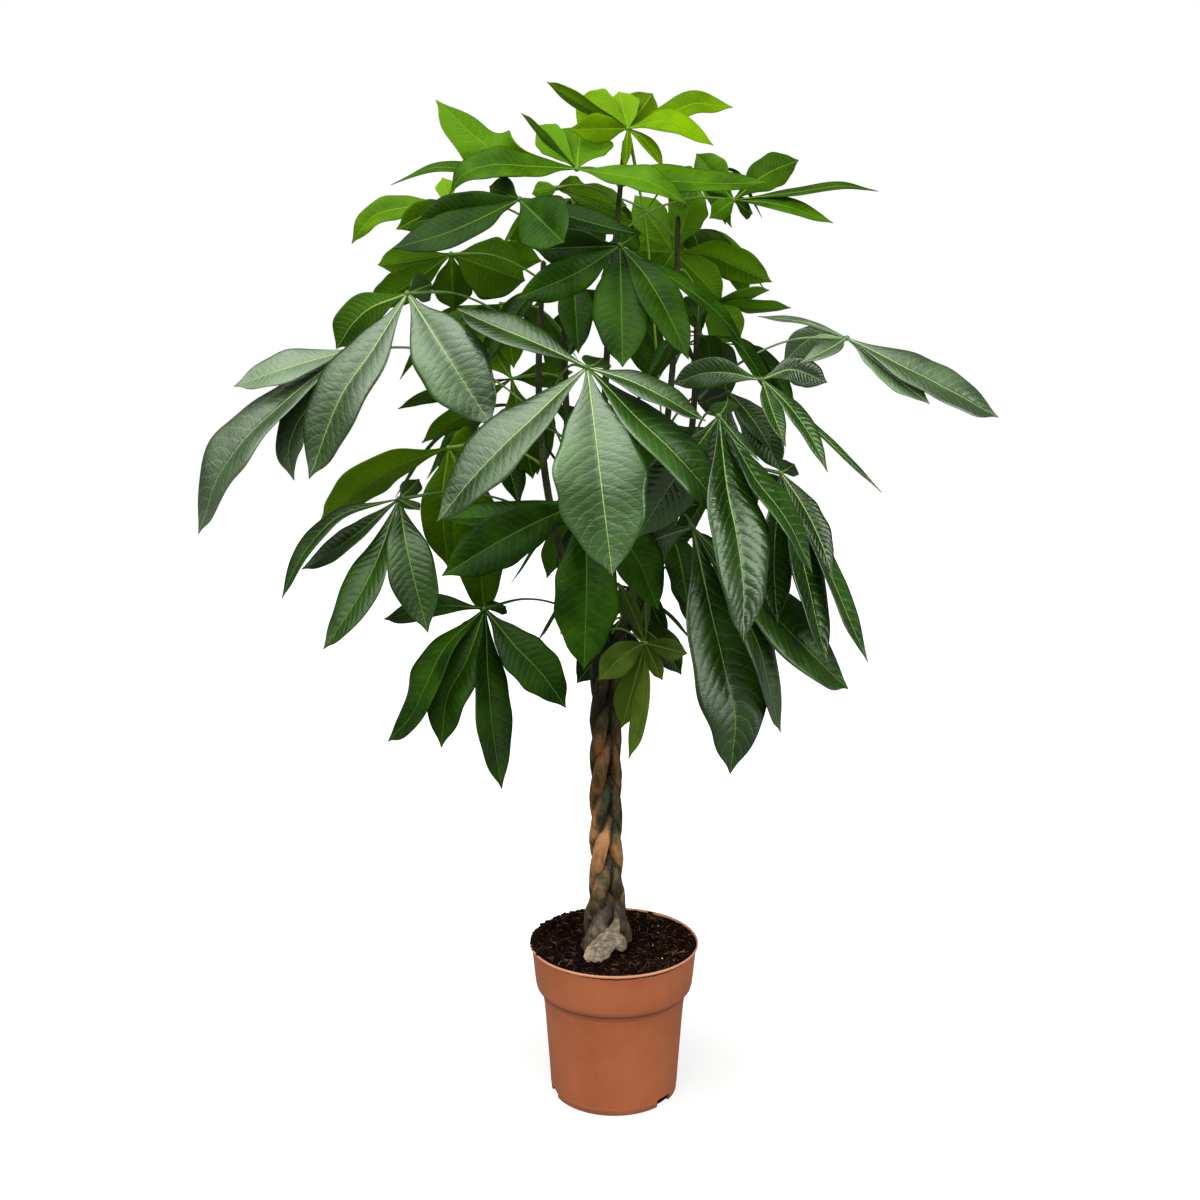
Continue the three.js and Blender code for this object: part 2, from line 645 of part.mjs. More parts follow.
// The midrib's curve and the way the blade faces along it.
function leafletFrame(hub, leaflet, shift, bowShift) {
  const [hubX, hubZ, hubForward] = hub;
  const points = leaflet.points.length > 1 ? leaflet.points : [
    [(hubX + leaflet.points[0][0]) / 2, (hubZ + leaflet.points[0][1]) / 2],
    leaflet.points[0],
  ];
  const lengths = [0];
  let [lastX, lastZ] = [hubX, hubZ];
  points.forEach(([x, z]) => {
    lengths.push(lengths.at(-1) + Math.hypot(x - lastX, z - lastZ));
    [lastX, lastZ] = [x, z];
  });
  const bow = 0.1 * lengths.at(-1) + bowShift;
  const curve = new THREE.CatmullRomCurve3([
    seen(hubX, hubZ, hubForward),
    ...points.map(([x, z], i) => {
      const share = lengths[i + 1] / lengths.at(-1);
      const forward = (leaflet.forward + shift) * share + bow * 4 * share * (1 - share);
      return seen(x, z, hubForward + forward);
    }),
  ], false, "centripetal");
  const start = curve.getPointAt(0);
  const end = curve.getPointAt(1);
  const scale = 1 - start.y / EYE.y;
  const seenWidth = leaflet.width * scale;
  const fullWidth = Math.max(seenWidth, Math.min(0.3 * curve.getLength(), seenWidth * 2.4));
  const roll = Math.acos(seenWidth / fullWidth);
  const outward = end.clone().sub(start).setZ(0).normalize().addScaledVector(UP, 0.9);
  const facing = (share) => {
    const point = curve.getPointAt(share);
    const along = curve.getTangentAt(share);
    const toEye = EYE.clone().sub(point);
    const across = new THREE.Vector3().crossVectors(along, toEye).normalize();
    if (across.dot(outward) < 0) across.negate();
    toEye.addScaledVector(along, -toEye.dot(along)).normalize();
    toEye.multiplyScalar(leaflet.side * Math.cos(roll));
    return toEye.addScaledVector(across, Math.sin(roll)).normalize();
  };
  return { curve, fullWidth, facing };
}

// A leaflet of a fan: it leaves the hub level, at its own angle, and droops to its tip.
const FAN_SPREAD = 285;
const FAN_DROOP = 0.62;
const FAN_WIDTH = 0.29;
const OUTER_LEAFLET = 0.66;

function fanFrame(leaf, index, shift, bowShift) {
  const share = index / (leaf.count - 1) - 0.5;
  const turn = THREE.MathUtils.degToRad(leaf.heading + FAN_SPREAD * share);
  const length = leaf.length * lerp(1, OUTER_LEAFLET, Math.abs(share) * 2);
  const level = new THREE.Vector3(Math.cos(turn), Math.sin(turn), 0);
  const hub = seen(...leaf.hub);
  const at = (out, drop) => hub.clone().addScaledVector(level, out * length)
    .addScaledVector(UP, -drop * length + shift * out + bowShift * 4 * out * (1 - out));
  const curve = new THREE.CatmullRomCurve3(
    [hub, at(0.46, 0.1 * FAN_DROOP), at(0.88, FAN_DROOP)],
    false,
    "centripetal",
  );
  const facing = (place) => {
    const along = curve.getTangentAt(place);
    return UP.clone().addScaledVector(along, -UP.dot(along)).normalize();
  };
  return { curve, fullWidth: FAN_WIDTH * length, facing };
}

function leafletSkin({ curve, fullWidth, facing }, grown) {
  const outline = [SLIM_OUTLINE, MIDDLE_OUTLINE, BROAD_OUTLINE]
    .at((fullWidth > SLIM_WIDTH) + (fullWidth > BROAD_WIDTH));
  const rings = outline.map(([share, wide]) => {
    const centre = curve.getPointAt(share);
    const along = curve.getTangentAt(share);
    const normal = facing(share);
    const across = new THREE.Vector3().crossVectors(along, normal).normalize();
    const half = Math.max(0.5 * wide * fullWidth, 1.6) + grown;
    const thick = 0.5 * BLADE_THICKNESS * lerp(1.5, 0.8, share) + grown;
    const sink = FOLD * (half - grown);
    const edge = (sign) => centre.clone().addScaledVector(across, sign * half);
    const rib = (sign) => centre.clone().addScaledVector(normal, sign * thick - sink);
    return [edge(-1), rib(1), edge(1), rib(-1)];
  });
  const root = curve.getPointAt(0);
  const tip = curve.getPointAt(1).addScaledVector(curve.getTangentAt(1), grown);
  return loft(root, rings, tip);
}

// The first ring lies among the other leaflets' roots at the hub.
const ROOT_POINTS = 4;

function pieceOf(owner, skin, rootPoints) {
  const isRoot = (indices) => indices.some((i) => i <= rootPoints);
  return { owner, whole: bodyOf(skin), beyondRoot: bodyOf(skin, isRoot) };
}

const SHIFTS = [0, 12, -12, 24, -24, 36, -36, 50, -50, 66, -66, 84, -84, 104, -104];
const BOW_SHIFTS = [0, 12, -12, 24, -24];

function fitLeaflet(owner, frameOf, obstacles) {
  for (const shift of SHIFTS) {
    for (const bowShift of BOW_SHIFTS) {
      const frame = frameOf(shift, bowShift);
      const piece = pieceOf(owner, leafletSkin(frame, LEAF_CLEARANCE / 2), ROOT_POINTS);
      if (isClear(piece, obstacles)) return { ...piece, skin: leafletSkin(frame, 0) };
    }
  }
  return null;
}

// ---- Petioles ----

function tubeSkin(curve, radii, sides, grown) {
  const rings = radii.map((radius, i) => {
    const share = 0.02 + (0.98 * i) / (radii.length - 1);
    const centre = curve.getPointAt(share);
    const along = curve.getTangentAt(share);
    const across = new THREE.Vector3().crossVectors(along, UP).normalize();
    const rise = new THREE.Vector3().crossVectors(across, along);
    return Array.from({ length: sides }, (_, side) => {
      const angle = (2 * Math.PI * side) / sides;
      return centre.clone()
        .addScaledVector(across, (radius + grown) * Math.cos(angle))
        .addScaledVector(rise, (radius + grown) * Math.sin(angle));
    });
  });
  const first = curve.getPointAt(0);
  const last = curve.getPointAt(1).addScaledVector(curve.getTangentAt(1), 1);
  return loft(first, rings, last);
}

const PETIOLE_RADII = [1.5, 1, 1, 1.3].map((share) => share * PETIOLE_RADIUS);
const PETIOLE_SIDES = 4;

// Distance from an axis to its own bark, outwards in a direction.
function barkReach(piece, origin, direction) {
  const ray = new THREE.Ray(origin, direction);
  return piece.whole.faces.reduce((reach, { corners }) => {
    const hit = ray.intersectTriangle(...corners, false, hitPoint);
    return hit ? Math.max(reach, hit.distanceTo(origin)) : reach;
  }, 0);
}

function petioleCurve(hub, axis, reach) {
  const away = hub.clone().sub(axis).setZ(0);
  const distance = away.length();
  away.normalize();
  const foot = axis.clone().addScaledVector(away, reach + CLEARANCE);
  const rise = hub.z - foot.z;
  const first = foot.clone().addScaledVector(away, 0.3 * distance);
  first.z += 0.16 * distance + 0.45 * Math.max(rise, 0);
  const second = hub.clone().addScaledVector(away, -0.3 * distance);
  second.z += 0.06 * distance;
  return new THREE.CubicBezierCurve3(foot, first, second, hub.clone());
}

// Places along the stems that a petiole could grow from, the nearest to its hub first.
function petiolePlaces(hub) {
  const places = [];
  STEMS.forEach(({ end }, index) => {
    for (let height = LOWEST_PETIOLE; height < end[2]; height += PETIOLE_SPACING) {
      const axis = stemCentre(index, height);
      const distance = Math.hypot(hub.x - axis.x, hub.y - axis.y);
      const wanted = Math.max(hub.z - 0.4 * distance, LOWEST_PETIOLE + PETIOLE_SPACING);
      places.push({ index, axis, cost: distance + 1.2 * Math.abs(height - wanted) });
    }
  });
  return places.sort((a, b) => a.cost - b.cost);
}

function fitPetiole(owner, hub, stemPieces, others) {
  for (const { index, axis } of petiolePlaces(hub)) {
    const away = hub.clone().sub(axis).setZ(0).normalize();
    const curve = petioleCurve(hub, axis, barkReach(stemPieces[index], axis, away));
    const skin = tubeSkin(curve, PETIOLE_RADII, PETIOLE_SIDES, 0);
    const grown = tubeSkin(curve, PETIOLE_RADII, PETIOLE_SIDES, LEAF_CLEARANCE / 2);
    const piece = pieceOf(owner, grown, PETIOLE_SIDES);
    const besideStems = [bodyOf(skin), piece.beyondRoot];
    const stemsClear = besideStems.every((whole) => isClear({ owner, whole }, stemPieces));
    if (stemsClear && isClear(piece, others)) return { ...piece, skin };
  }
  return null;
}

// The small knob that a leaf's leaflets spring from.
function hubSkin(leaf, radius) {
  const ball = new THREE.OctahedronGeometry(radius);
  return skinOfGeometry(ball.translate(...seen(...leaf.hub).toArray()));
}

function hubPiece(leaf, radius) {
  return { owner: leaf.name, whole: bodyOf(hubSkin(leaf, radius)), beyondRoot: NOTHING };
}

// ---- The whole tree ----

const tree = new THREE.Group();
const stemSkins = STEMS.map((_, index) => stemSkin(index));
addMesh(tree, "pot", makePot(), terracottaPlastic);
addMesh(tree, "soil", makeSoil(STEMS.map((_, index) => makeStemHole(index))), pottingSoil);
STEMS.forEach(({ name }, index) => addMesh(tree, name, solidOf(stemSkins[index]), bark));

const stemPieces = STEMS.map(({ name }, index) => pieceOf(name, stemSkins[index], 0));
const placed = [...LEAVES, ...FANS].map((leaf) => hubPiece(leaf, HUB_RADIUS + LEAF_CLEARANCE));
const leaves = [...LEAVES, ...FANS].map((leaf) => {
  const petiole = fitPetiole(leaf.name, seen(...leaf.hub), stemPieces, placed);
  if (petiole) placed.push(petiole);
  return { ...leaf, petiole };
}).filter((leaf) => leaf.petiole);
placed.push(...stemPieces);

// A leaflet that finds no room among those already placed is left out.
leaves.forEach((leaf) => {
  const skins = [];
  const count = leaf.count ?? leaf.leaflets.length;
  for (let i = 0; i < count; i++) {
    const frameOf = leaf.leaflets
      ? (...shifts) => leafletFrame(leaf.hub, leaf.leaflets[i], ...shifts)
      : (...shifts) => fanFrame(leaf, i, ...shifts);
    const fitted = fitLeaflet(leaf.name, frameOf, placed);
    if (!fitted) continue;
    placed.push(fitted);
    skins.push(fitted.skin);
  }
  const stalk = solidOf(leaf.petiole.skin).add(solidOf(hubSkin(leaf, HUB_RADIUS)));
  const solid = skins.reduce((sum, skin) => sum.add(solidOf(skin)), stalk);
  addMesh(tree, leaf.name, solid, leafColours[leaf.age]);
});

export default tree;
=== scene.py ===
"""A potted money tree: glossy palmate leaves on five braided stems, in a nursery pot.

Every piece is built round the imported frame, in metres, +Z up, with the front facing -Y.
"""

import json
import math
import random
from collections import namedtuple

import bmesh
import bpy
import numpy as np
from mathutils import Euler, Matrix, Vector, noise


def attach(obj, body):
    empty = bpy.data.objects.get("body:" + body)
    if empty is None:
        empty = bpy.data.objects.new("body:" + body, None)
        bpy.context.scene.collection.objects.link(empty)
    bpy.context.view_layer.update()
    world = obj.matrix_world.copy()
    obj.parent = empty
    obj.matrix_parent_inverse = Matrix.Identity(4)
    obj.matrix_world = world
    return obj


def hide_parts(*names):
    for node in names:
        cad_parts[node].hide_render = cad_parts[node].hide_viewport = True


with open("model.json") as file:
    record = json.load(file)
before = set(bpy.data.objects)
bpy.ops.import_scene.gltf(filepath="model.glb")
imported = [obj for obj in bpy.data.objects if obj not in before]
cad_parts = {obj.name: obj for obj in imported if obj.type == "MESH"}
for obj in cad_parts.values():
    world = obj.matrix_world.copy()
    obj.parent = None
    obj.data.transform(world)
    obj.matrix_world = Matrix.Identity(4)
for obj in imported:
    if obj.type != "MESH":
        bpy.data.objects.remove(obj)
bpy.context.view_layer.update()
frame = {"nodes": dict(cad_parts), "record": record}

BODY = "root"
MM = 0.001
# Corners nearer than this are one corner: on a grid's own seam, in a node, and in a knob.
SEAM, WELD, ON_KNOB = 1e-6, 2e-6, 3e-6


# ---- Operators ----

def leave_all():
    """Out of edit mode, with nothing selected."""
    if bpy.context.object and bpy.context.object.mode != "OBJECT":
        bpy.ops.object.mode_set(mode="OBJECT")
    bpy.ops.object.select_all(action="DESELECT")


def work_on(piece):
    leave_all()
    piece.select_set(True)
    bpy.context.view_layer.objects.active = piece


def named(name):
    piece = bpy.context.object
    piece.name = name
    piece.data.name = name
    return piece


def keep_modifier(piece, kind, **settings):
    """Adds a modifier, sets it and applies it."""
    work_on(piece)
    modifier = piece.modifiers.new(kind.title(), kind)
    for name, value in settings.items():
        setattr(modifier, name, value)
    bpy.ops.object.modifier_apply(modifier=modifier.name)


def join(pieces, name):
    leave_all()
    for piece in pieces:
        piece.select_set(True)
    bpy.context.view_layer.objects.active = pieces[0]
    bpy.ops.object.join()
    return named(name)


def smooth(piece):
    work_on(piece)
    bpy.ops.object.shade_smooth()


def close_seams(piece):
    """Welds a grid where it meets itself, and shades it smooth."""
    work_on(piece)
    bpy.ops.object.mode_set(mode="EDIT")
    bpy.ops.mesh.select_all(action="SELECT")
    bpy.ops.mesh.remove_doubles(threshold=SEAM)
    bpy.ops.mesh.normals_make_consistent(inside=False)
    bpy.ops.object.mode_set(mode="OBJECT")
    smooth(piece)


def added(name, data):
    made = bpy.data.objects.new(name, data)
    bpy.context.scene.collection.objects.link(made)
    return made


def hand_in(piece, slot, *nodes):
    """The piece rides on the tree and stands for its nodes, which it hides."""
    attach(piece, BODY)
    if nodes:
        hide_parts(*nodes)


def laid_grid(name, across, along, place):
    """A grid of cells, each corner put where place(u, v) says, with u and v from 0 to 1."""
    leave_all()
    bpy.ops.mesh.primitive_grid_add(x_subdivisions=across, y_subdivisions=along, size=2)
    piece = named(name)
    flat = np.zeros(len(piece.data.vertices) * 3)
    piece.data.vertices.foreach_get("co", flat)
    u, v = (flat.reshape(-1, 3)[:, :2].T + 1) / 2
    piece.data.vertices.foreach_set("co", place(u, v).astype(np.float32).ravel())
    piece.data.update()
    return piece


def give(piece, name, values):
    """A number for each point of a piece, which its material reads by name."""
    made = piece.data.attributes.new(name, "FLOAT", "POINT")
    made.data.foreach_set("value", values.astype(np.float32))


def set_tone(piece, value):
    """A number that is the same over one leaflet or strand."""
    give(piece, "tone", np.full(len(piece.data.vertices), value))


def dress(piece, *materials):
    piece.data.materials.clear()
    for material in materials:
        piece.data.materials.append(material)


# ---- Places and curves ----

def polar(radius, angle):
    return radius * math.cos(angle), radius * math.sin(angle)


def unit(vectors):
    return vectors / np.maximum(np.linalg.norm(vectors, axis=-1, keepdims=True), 1e-12)


def shares_along(points):
    """How far along a line of points each one lies, from 0 to 1."""
    steps = np.linalg.norm(np.diff(points, axis=0), axis=1)
    return np.concatenate([[0], np.cumsum(steps)]) / steps.sum()


def run_through(knots, values, at):
    """A smooth curve through the values at the knots, read at some places."""
    values = np.asarray(values, float)
    slopes = np.gradient(values, knots, axis=0)
    i = np.clip(np.searchsorted(knots, at, side="right") - 1, 0, len(knots) - 2)
    gap = knots[i + 1] - knots[i]
    t = (at - knots[i]) / gap
    if values.ndim > 1:
        t, gap = t[:, None], gap[:, None]
    before = (1 + 2 * t) * (1 - t) ** 2 * values[i] + t * (1 - t) ** 2 * gap * slopes[i]
    after = t * t * (3 - 2 * t) * values[i + 1] + t * t * (t - 1) * gap * slopes[i + 1]
    return before + after


def share_of(low, high, value):
    return np.clip((value - low) / (high - low), 0, 1)


def smoothstep(low, high, value):
    t = share_of(low, high, value)
    return t * t * (3 - 2 * t)


def round_from(u, side, rise):
    """The way out of a tube's middle, round from side towards rise."""
    angle = 2 * math.pi * u[:, None]
    return np.cos(angle) * side + np.sin(angle) * rise


def closed(radius, v):
    """A radius that comes to nothing at both ends, so that the poles close."""
    return np.where((v < 1e-6) | (v > 1 - 1e-6), 0, radius)[:, None]


def tube(name, points, radii, sides, along, facing=(0.02, 0.03, 1.0), flat=1.0, rough=0.0):
    """A closed tube along a smooth curve, with a pole at each end.

    Its section is flat times as thick towards facing, and its skin is uneven by rough.
    """
    knots = shares_along(points)

    def place(u, v):
        at = smoothstep(0, 1, v) * 0.3 + v * 0.7
        centre = run_through(knots, points, at)
        ahead = unit(run_through(knots, points, np.minimum(at + 0.01, 1))
                     - run_through(knots, points, np.maximum(at - 0.01, 0)))
        side = unit(np.cross(ahead, facing))
        turn = round_from(u, side, np.cross(side, ahead) * flat)
        radius = run_through(knots, radii, at)
        if rough:
            radius = radius * (1 + rough * rough_noise(centre / MM + turn * 9, 0.12, 5.0))
        return centre + closed(radius, v) * turn

    piece = laid_grid(name, sides, along, place)
    close_seams(piece)
    return piece


def rough_noise(points, scale, seed):
    return np.array([noise.noise(Vector(p) * scale + Vector((seed, seed, seed)))
                     for p in points])


# ---- Shader graphs ----

class Graph:
    """Adds nodes to a node tree and joins them."""

    def __init__(self, tree):
        self.tree = tree

    def add(self, kind, inputs=(), **settings):
        made = self.tree.nodes.new(kind)
        for name, value in settings.items():
            setattr(made, name, value)
        for name, value in dict(inputs).items():
            if isinstance(value, bpy.types.NodeSocket):
                self.tree.links.new(value, made.inputs[name])
            elif made.inputs[name].type == "RGBA":
                made.inputs[name].default_value = (*value, 1.0)
            else:
                made.inputs[name].default_value = value
        return made

    def maths(self, operation, *values):
        return self.add("ShaderNodeMath", enumerate(values), operation=operation).outputs[0]

    def times(self, first, second):
        return self.maths("MULTIPLY", first, second)

    def vector_maths(self, operation, *vectors):
        """A vector, or a number where the operation gives one."""
        made = self.add("ShaderNodeVectorMath", enumerate(vectors), operation=operation)
        return made.outputs["Value" if operation in ("LENGTH", "DOT_PRODUCT") else "Vector"]

    def between(self, value, low, high):
        """0 below low, 1 above high, and smooth between them."""
        sockets = {"Value": value, "From Min": low, "From Max": high}
        made = self.add("ShaderNodeMapRange", sockets, interpolation_type="SMOOTHSTEP")
        return made.outputs["Result"]

    def spread(self, value, low, high):
        """A value from 0 to 1 spread over another range."""
        made = self.add("ShaderNodeMapRange", {"Value": value, "To Min": low, "To Max": high})
        return made.outputs["Result"]

    def mix(self, factor, first, second):
        made = self.add("ShaderNodeMix", {0: factor, 6: first, 7: second}, data_type="RGBA")
        return made.outputs[2]

    def tinted(self, colour, mask, amount, tint):
        """A colour with some of another laid over it, where the mask says."""
        return self.mix(self.times(mask, amount), colour, tint)

    def scaled(self, factor, colour):
        sockets = {0: 1.0, 6: colour, 7: factor}
        made = self.add("ShaderNodeMix", sockets, data_type="RGBA", blend_type="MULTIPLY")
        return made.outputs[2]

    def noise(self, vector, scale, detail=3.0, roughness=0.55, distortion=0.0):
        sockets = {"Vector": vector, "Scale": scale, "Detail": detail,
                   "Roughness": roughness, "Distortion": distortion}
        return self.add("ShaderNodeTexNoise", sockets).outputs["Fac"]

    def place(self):
        return self.add("ShaderNodeTexCoord").outputs["Object"]

    def stretched(self, vector, scale):
        return self.add("ShaderNodeMapping", {"Vector": vector, "Scale": scale}).outputs[0]

    def attribute(self, name):
        return self.add("ShaderNodeAttribute", attribute_name=name).outputs["Fac"]

    def parts(self, vector):
        return self.add("ShaderNodeSeparateXYZ", {0: vector}).outputs

    def joined(self, *parts):
        return self.add("ShaderNodeCombineXYZ", enumerate(parts)).outputs[0]

    def group(self, shared, inputs):
        return self.add("ShaderNodeGroup", inputs, node_tree=shared).outputs

    def bump(self, height, strength, distance, under=None):
        sockets = {"Height": height, "Strength": strength, "Distance": distance}
        if under is not None:
            sockets["Normal"] = under
        return self.add("ShaderNodeBump", sockets).outputs["Normal"]


def new_group(name, inputs, outputs):
    """A shader group, the graph inside it, what it is given, and a way to end it.

    Its sockets are named in two strings. UV and Place are vectors, and the rest are numbers.
    """
    shared = bpy.data.node_groups.new(name, "ShaderNodeTree")
    for way, sockets in (("INPUT", inputs), ("OUTPUT", outputs)):
        for socket in sockets.split():
            kind = "NodeSocketVector" if socket in ("UV", "Place") else "NodeSocketFloat"
            shared.interface.new_socket(socket, in_out=way, socket_type=kind)
    given = shared.nodes.new("NodeGroupInput")
    result = shared.nodes.new("NodeGroupOutput")

    def finish(**values):
        for socket, value in values.items():
            shared.links.new(value, result.inputs[socket])
        return shared

    return Graph(shared), given.outputs, finish


def new_material(name, **shader):
    """The graph round a new material's shader, the place on the piece, and a way to end it."""
    material = bpy.data.materials.new(name)
    material.use_nodes = True
    principled = material.node_tree.nodes["Principled BSDF"]
    for socket, value in shader.items():
        principled.inputs[socket.replace("_", " ")].default_value = value
    graph = Graph(material.node_tree)

    def finish(colour, roughness, normal=None):
        graph.tree.links.new(colour, principled.inputs["Base Color"])
        graph.tree.links.new(roughness, principled.inputs["Roughness"])
        if normal is not None:
            graph.tree.links.new(normal, principled.inputs["Normal"])
        return material

    return graph, graph.place(), finish


# ---- Shared effects ----

# Side veins on each half of a leaflet, and how far they lean and curl towards its tip, as
# shares of its length.
SIDE_VEINS = 18.0
VEIN_LEAN, VEIN_CURL = 0.065, 0.05
# How far the right half's veins sit past the left half's, and how wide a vein is, as shares
# of the step from one to the next.
VEIN_SHIFT, VEIN_WIDTH = 0.45, 0.10
# Half-width of the midrib at the foot and at the tip, in millimetres.
MIDRIB_FOOT, MIDRIB_TIP = 1.05, 0.35
# Painted shade: the heart of the crown, where leaves are painted darker, and how far the crown
# reaches from it, in metres.
CROWN_HEART, CROWN_REACH = (0.0, 0.06, 0.86), (0.36, 0.30, 0.40)


def make_vein_group():
    """Midrib, side veins and the puffed skin between them.

    Across is the distance from the midrib in millimetres, and UV runs over the leaflet.
    """
    g, given, finish = new_group("leaf veins", "UV Across Shift", "Midrib Veins Puff")
    across, along, _ = g.parts(given["UV"])
    off = g.maths("ABSOLUTE", g.maths("MULTIPLY_ADD", across, 2.0, -1.0))
    lean = g.times(off, g.maths("MULTIPLY_ADD", off, VEIN_CURL, VEIN_LEAN))
    turn = g.times(g.maths("SUBTRACT", along, lean), SIDE_VEINS)
    right = g.times(g.maths("GREATER_THAN", across, 0.5), VEIN_SHIFT)
    turn = g.maths("ADD", g.maths("ADD", turn, right), given["Shift"])
    share = g.maths("FRACT", turn)
    gap = g.maths("MINIMUM", share, g.maths("SUBTRACT", 1.0, share))
    fade = g.between(off, 1.0, 0.7)
    line = g.times(g.between(gap, VEIN_WIDTH, 0.0), fade)
    puff = g.times(g.maths("SINE", g.times(share, math.pi)), fade)
    width = g.spread(along, MIDRIB_FOOT, MIDRIB_TIP)
    away = g.maths("ABSOLUTE", given["Across"])
    rib = g.between(away, g.times(width, 1.5), g.times(width, 0.5))
    return finish(Midrib=rib, Veins=line, Puff=puff)


def make_uneven_group():
    """Soft blotches and fine grain in one mask, for a finish that isn't even."""
    g, given, finish = new_group("uneven finish", "Place Blotch Grain", "Blotches Grain")
    blotch = g.noise(given["Place"], given["Blotch"], detail=4.0)
    grain = g.noise(given["Place"], given["Grain"], detail=2.0)
    return finish(Blotches=g.between(blotch, 0.32, 0.68), Grain=grain)


def make_crown_shade_group():
    """Painted shade: 0 in the heart of the crown, which is painted darkest, and 1 at its outside,
    from the place on the tree.
    """
    g, given, finish = new_group("painted crown shade", "Place", "Open")
    inner = g.vector_maths("SUBTRACT", given["Place"], CROWN_HEART)
    away = g.vector_maths("LENGTH", g.vector_maths("DIVIDE", inner, CROWN_REACH))
    return finish(Open=g.between(away, 0.25, 1.0))


VEINS = make_vein_group()
UNEVEN = make_uneven_group()
CROWN_SHADE = make_crown_shade_group()


def uneven_at(g, place, blotch, grain=0.0):
    """The blotches and the grain of an uneven finish, at these scales."""
    made = g.group(UNEVEN, {"Place": place, "Blotch": blotch, "Grain": grain})
    return made["Blotches"], made["Grain"]


# ---- Leaf materials ----

# One kind of leaf: the colour of its top where it is deep and where it is fresh, of its
# underside and of its veins, the top's gloss, its coat of wax, its roughness, and how far
# the skin puffs up between its side veins.
Palette = namedtuple("Palette", "deep fresh under rib gloss sheen roughness puffed",
                     defaults=(0.34, 0.4))
UNDERSIDE = {"gloss": 0.15, "sheen": 0.0, "roughness": 0.6, "puffed": 0.5}
PALETTES = {
    "leaf_mature": Palette((0.0055, 0.022, 0.0005), (0.020, 0.064, 0.0012),
                           (0.036, 0.100, 0.0015), (0.085, 0.185, 0.02), 0.19, 0.0),
    "leaf_satin": Palette((0.0055, 0.021, 0.001), (0.017, 0.052, 0.002),
                          (0.034, 0.092, 0.003), (0.14, 0.27, 0.035), 0.5, 0.10,
                          puffed=0.95),
    "leaf_glossy": Palette((0.008, 0.030, 0.002), (0.022, 0.070, 0.005),
                           (0.036, 0.094, 0.004), (0.30, 0.48, 0.09), 1.0, 0.24),
    "leaf_wet": Palette((0.0060, 0.024, 0.0014), (0.017, 0.056, 0.003),
                        (0.036, 0.094, 0.004), (0.24, 0.40, 0.07), 0.7, 0.16, 0.24, 0.95),
    # Painted sheen: paler, greyer colours for leaves that catch the light.
    "leaf_painted_sheen": Palette((0.036, 0.064, 0.026), (0.068, 0.114, 0.049),
                          (0.040, 0.098, 0.008), (0.30, 0.45, 0.14), 0.9, 0.22),
    "leaf_mid": Palette((0.023, 0.070, 0.0008), (0.060, 0.152, 0.002),
                        (0.075, 0.185, 0.001), (0.14, 0.28, 0.015), 0.10, 0.0),
    "leaf_fresh": Palette((0.036, 0.098, 0.0003), (0.082, 0.182, 0.001),
                          (0.110, 0.235, 0.001), (0.18, 0.33, 0.012), 0.08, 0.0),
    "leaf_young": Palette((0.060, 0.136, 0.0002), (0.112, 0.222, 0.0005),
                          (0.096, 0.200, 0.0004), (0.20, 0.35, 0.01), 0.04, 0.0),
    "leaf_shaded": Palette((0.038, 0.075, 0.003), (0.085, 0.140, 0.010),
                           (0.070, 0.125, 0.006), (0.15, 0.22, 0.03), 0.2, 0.0),
}

# Wrinkles to the millimetre, across a leaflet and along it.
WRINKLES = (0.07, 0.19, 1.0)

# Leaves that look other than the rest of their age; those far left and far right are painted
# paler, as painted sheen.
LOOKS = {
    "leaf_glossy": ("leaf_front_centre", "leaf_front_left"),
    "leaf_wet": ("leaf_front_right", "leaf_right_hanging", "leaf_right"),
    "leaf_painted_sheen": ("leaf_far_left", "leaf_far_right"),
    "leaf_satin": ("leaf_low_right", "leaf_middle_left", "leaf_inner_right"),
    "leaf_mid": ("leaf_top_front",),
    "leaf_fresh": ("leaf_behind_middle_left", "leaf_top_left"),
    "leaf_shaded": ("leaf_trunk_top",),
}


def leaf_skin(name, palette, relief, vein_show):
    """Skin with a midrib, side veins, puffs between them and fine wrinkles."""
    g, place, finish = new_material(name, Specular_IOR_Level=palette.gloss,
                                    Coat_Weight=palette.sheen, Coat_Roughness=0.22,
                                    IOR=1.5 if palette.sheen else 1.35,
                                    Specular_Tint=(0.84, 1.0, 0.78, 1.0))
    tone = g.attribute("tone")
    uv = g.add("ShaderNodeUVMap", uv_map="UVMap").outputs[0]
    across = g.attribute("from_rib")
    shift = g.times(g.noise(place, 26.0, detail=2.0), 1.3)
    veins = g.group(VEINS, {"UV": uv, "Across": across, "Shift": shift})
    blotches, _ = uneven_at(g, place, 16.0)
    open_to_sky = g.group(CROWN_SHADE, {"Place": place})["Open"]

    colour = g.mix(blotches, palette.deep, palette.fresh)
    colour = g.scaled(g.spread(tone, 0.62, 1.38), colour)
    # Painted shade: leaves deep in the crown are painted darker.
    colour = g.scaled(g.spread(open_to_sky, 0.24, 1.0), colour)
    colour = g.tinted(colour, veins["Veins"], vein_show, palette.rib)
    colour = g.tinted(colour, veins["Midrib"], 0.85, palette.rib)
    rough = g.spread(blotches, palette.roughness - 0.05, palette.roughness + 0.07)

    skin = g.joined(across, g.attribute("from_foot"), g.times(tone, 90.0))
    wrinkles = g.noise(g.stretched(skin, WRINKLES), 1.0, detail=2.2, distortion=0.8)
    height = g.maths("MULTIPLY_ADD", veins["Puff"], palette.puffed,
                     g.times(wrinkles, 1.4))
    height = g.maths("SUBTRACT", height, veins["Midrib"])
    return finish(colour, rough, g.bump(height, relief, 1.2 * MM))


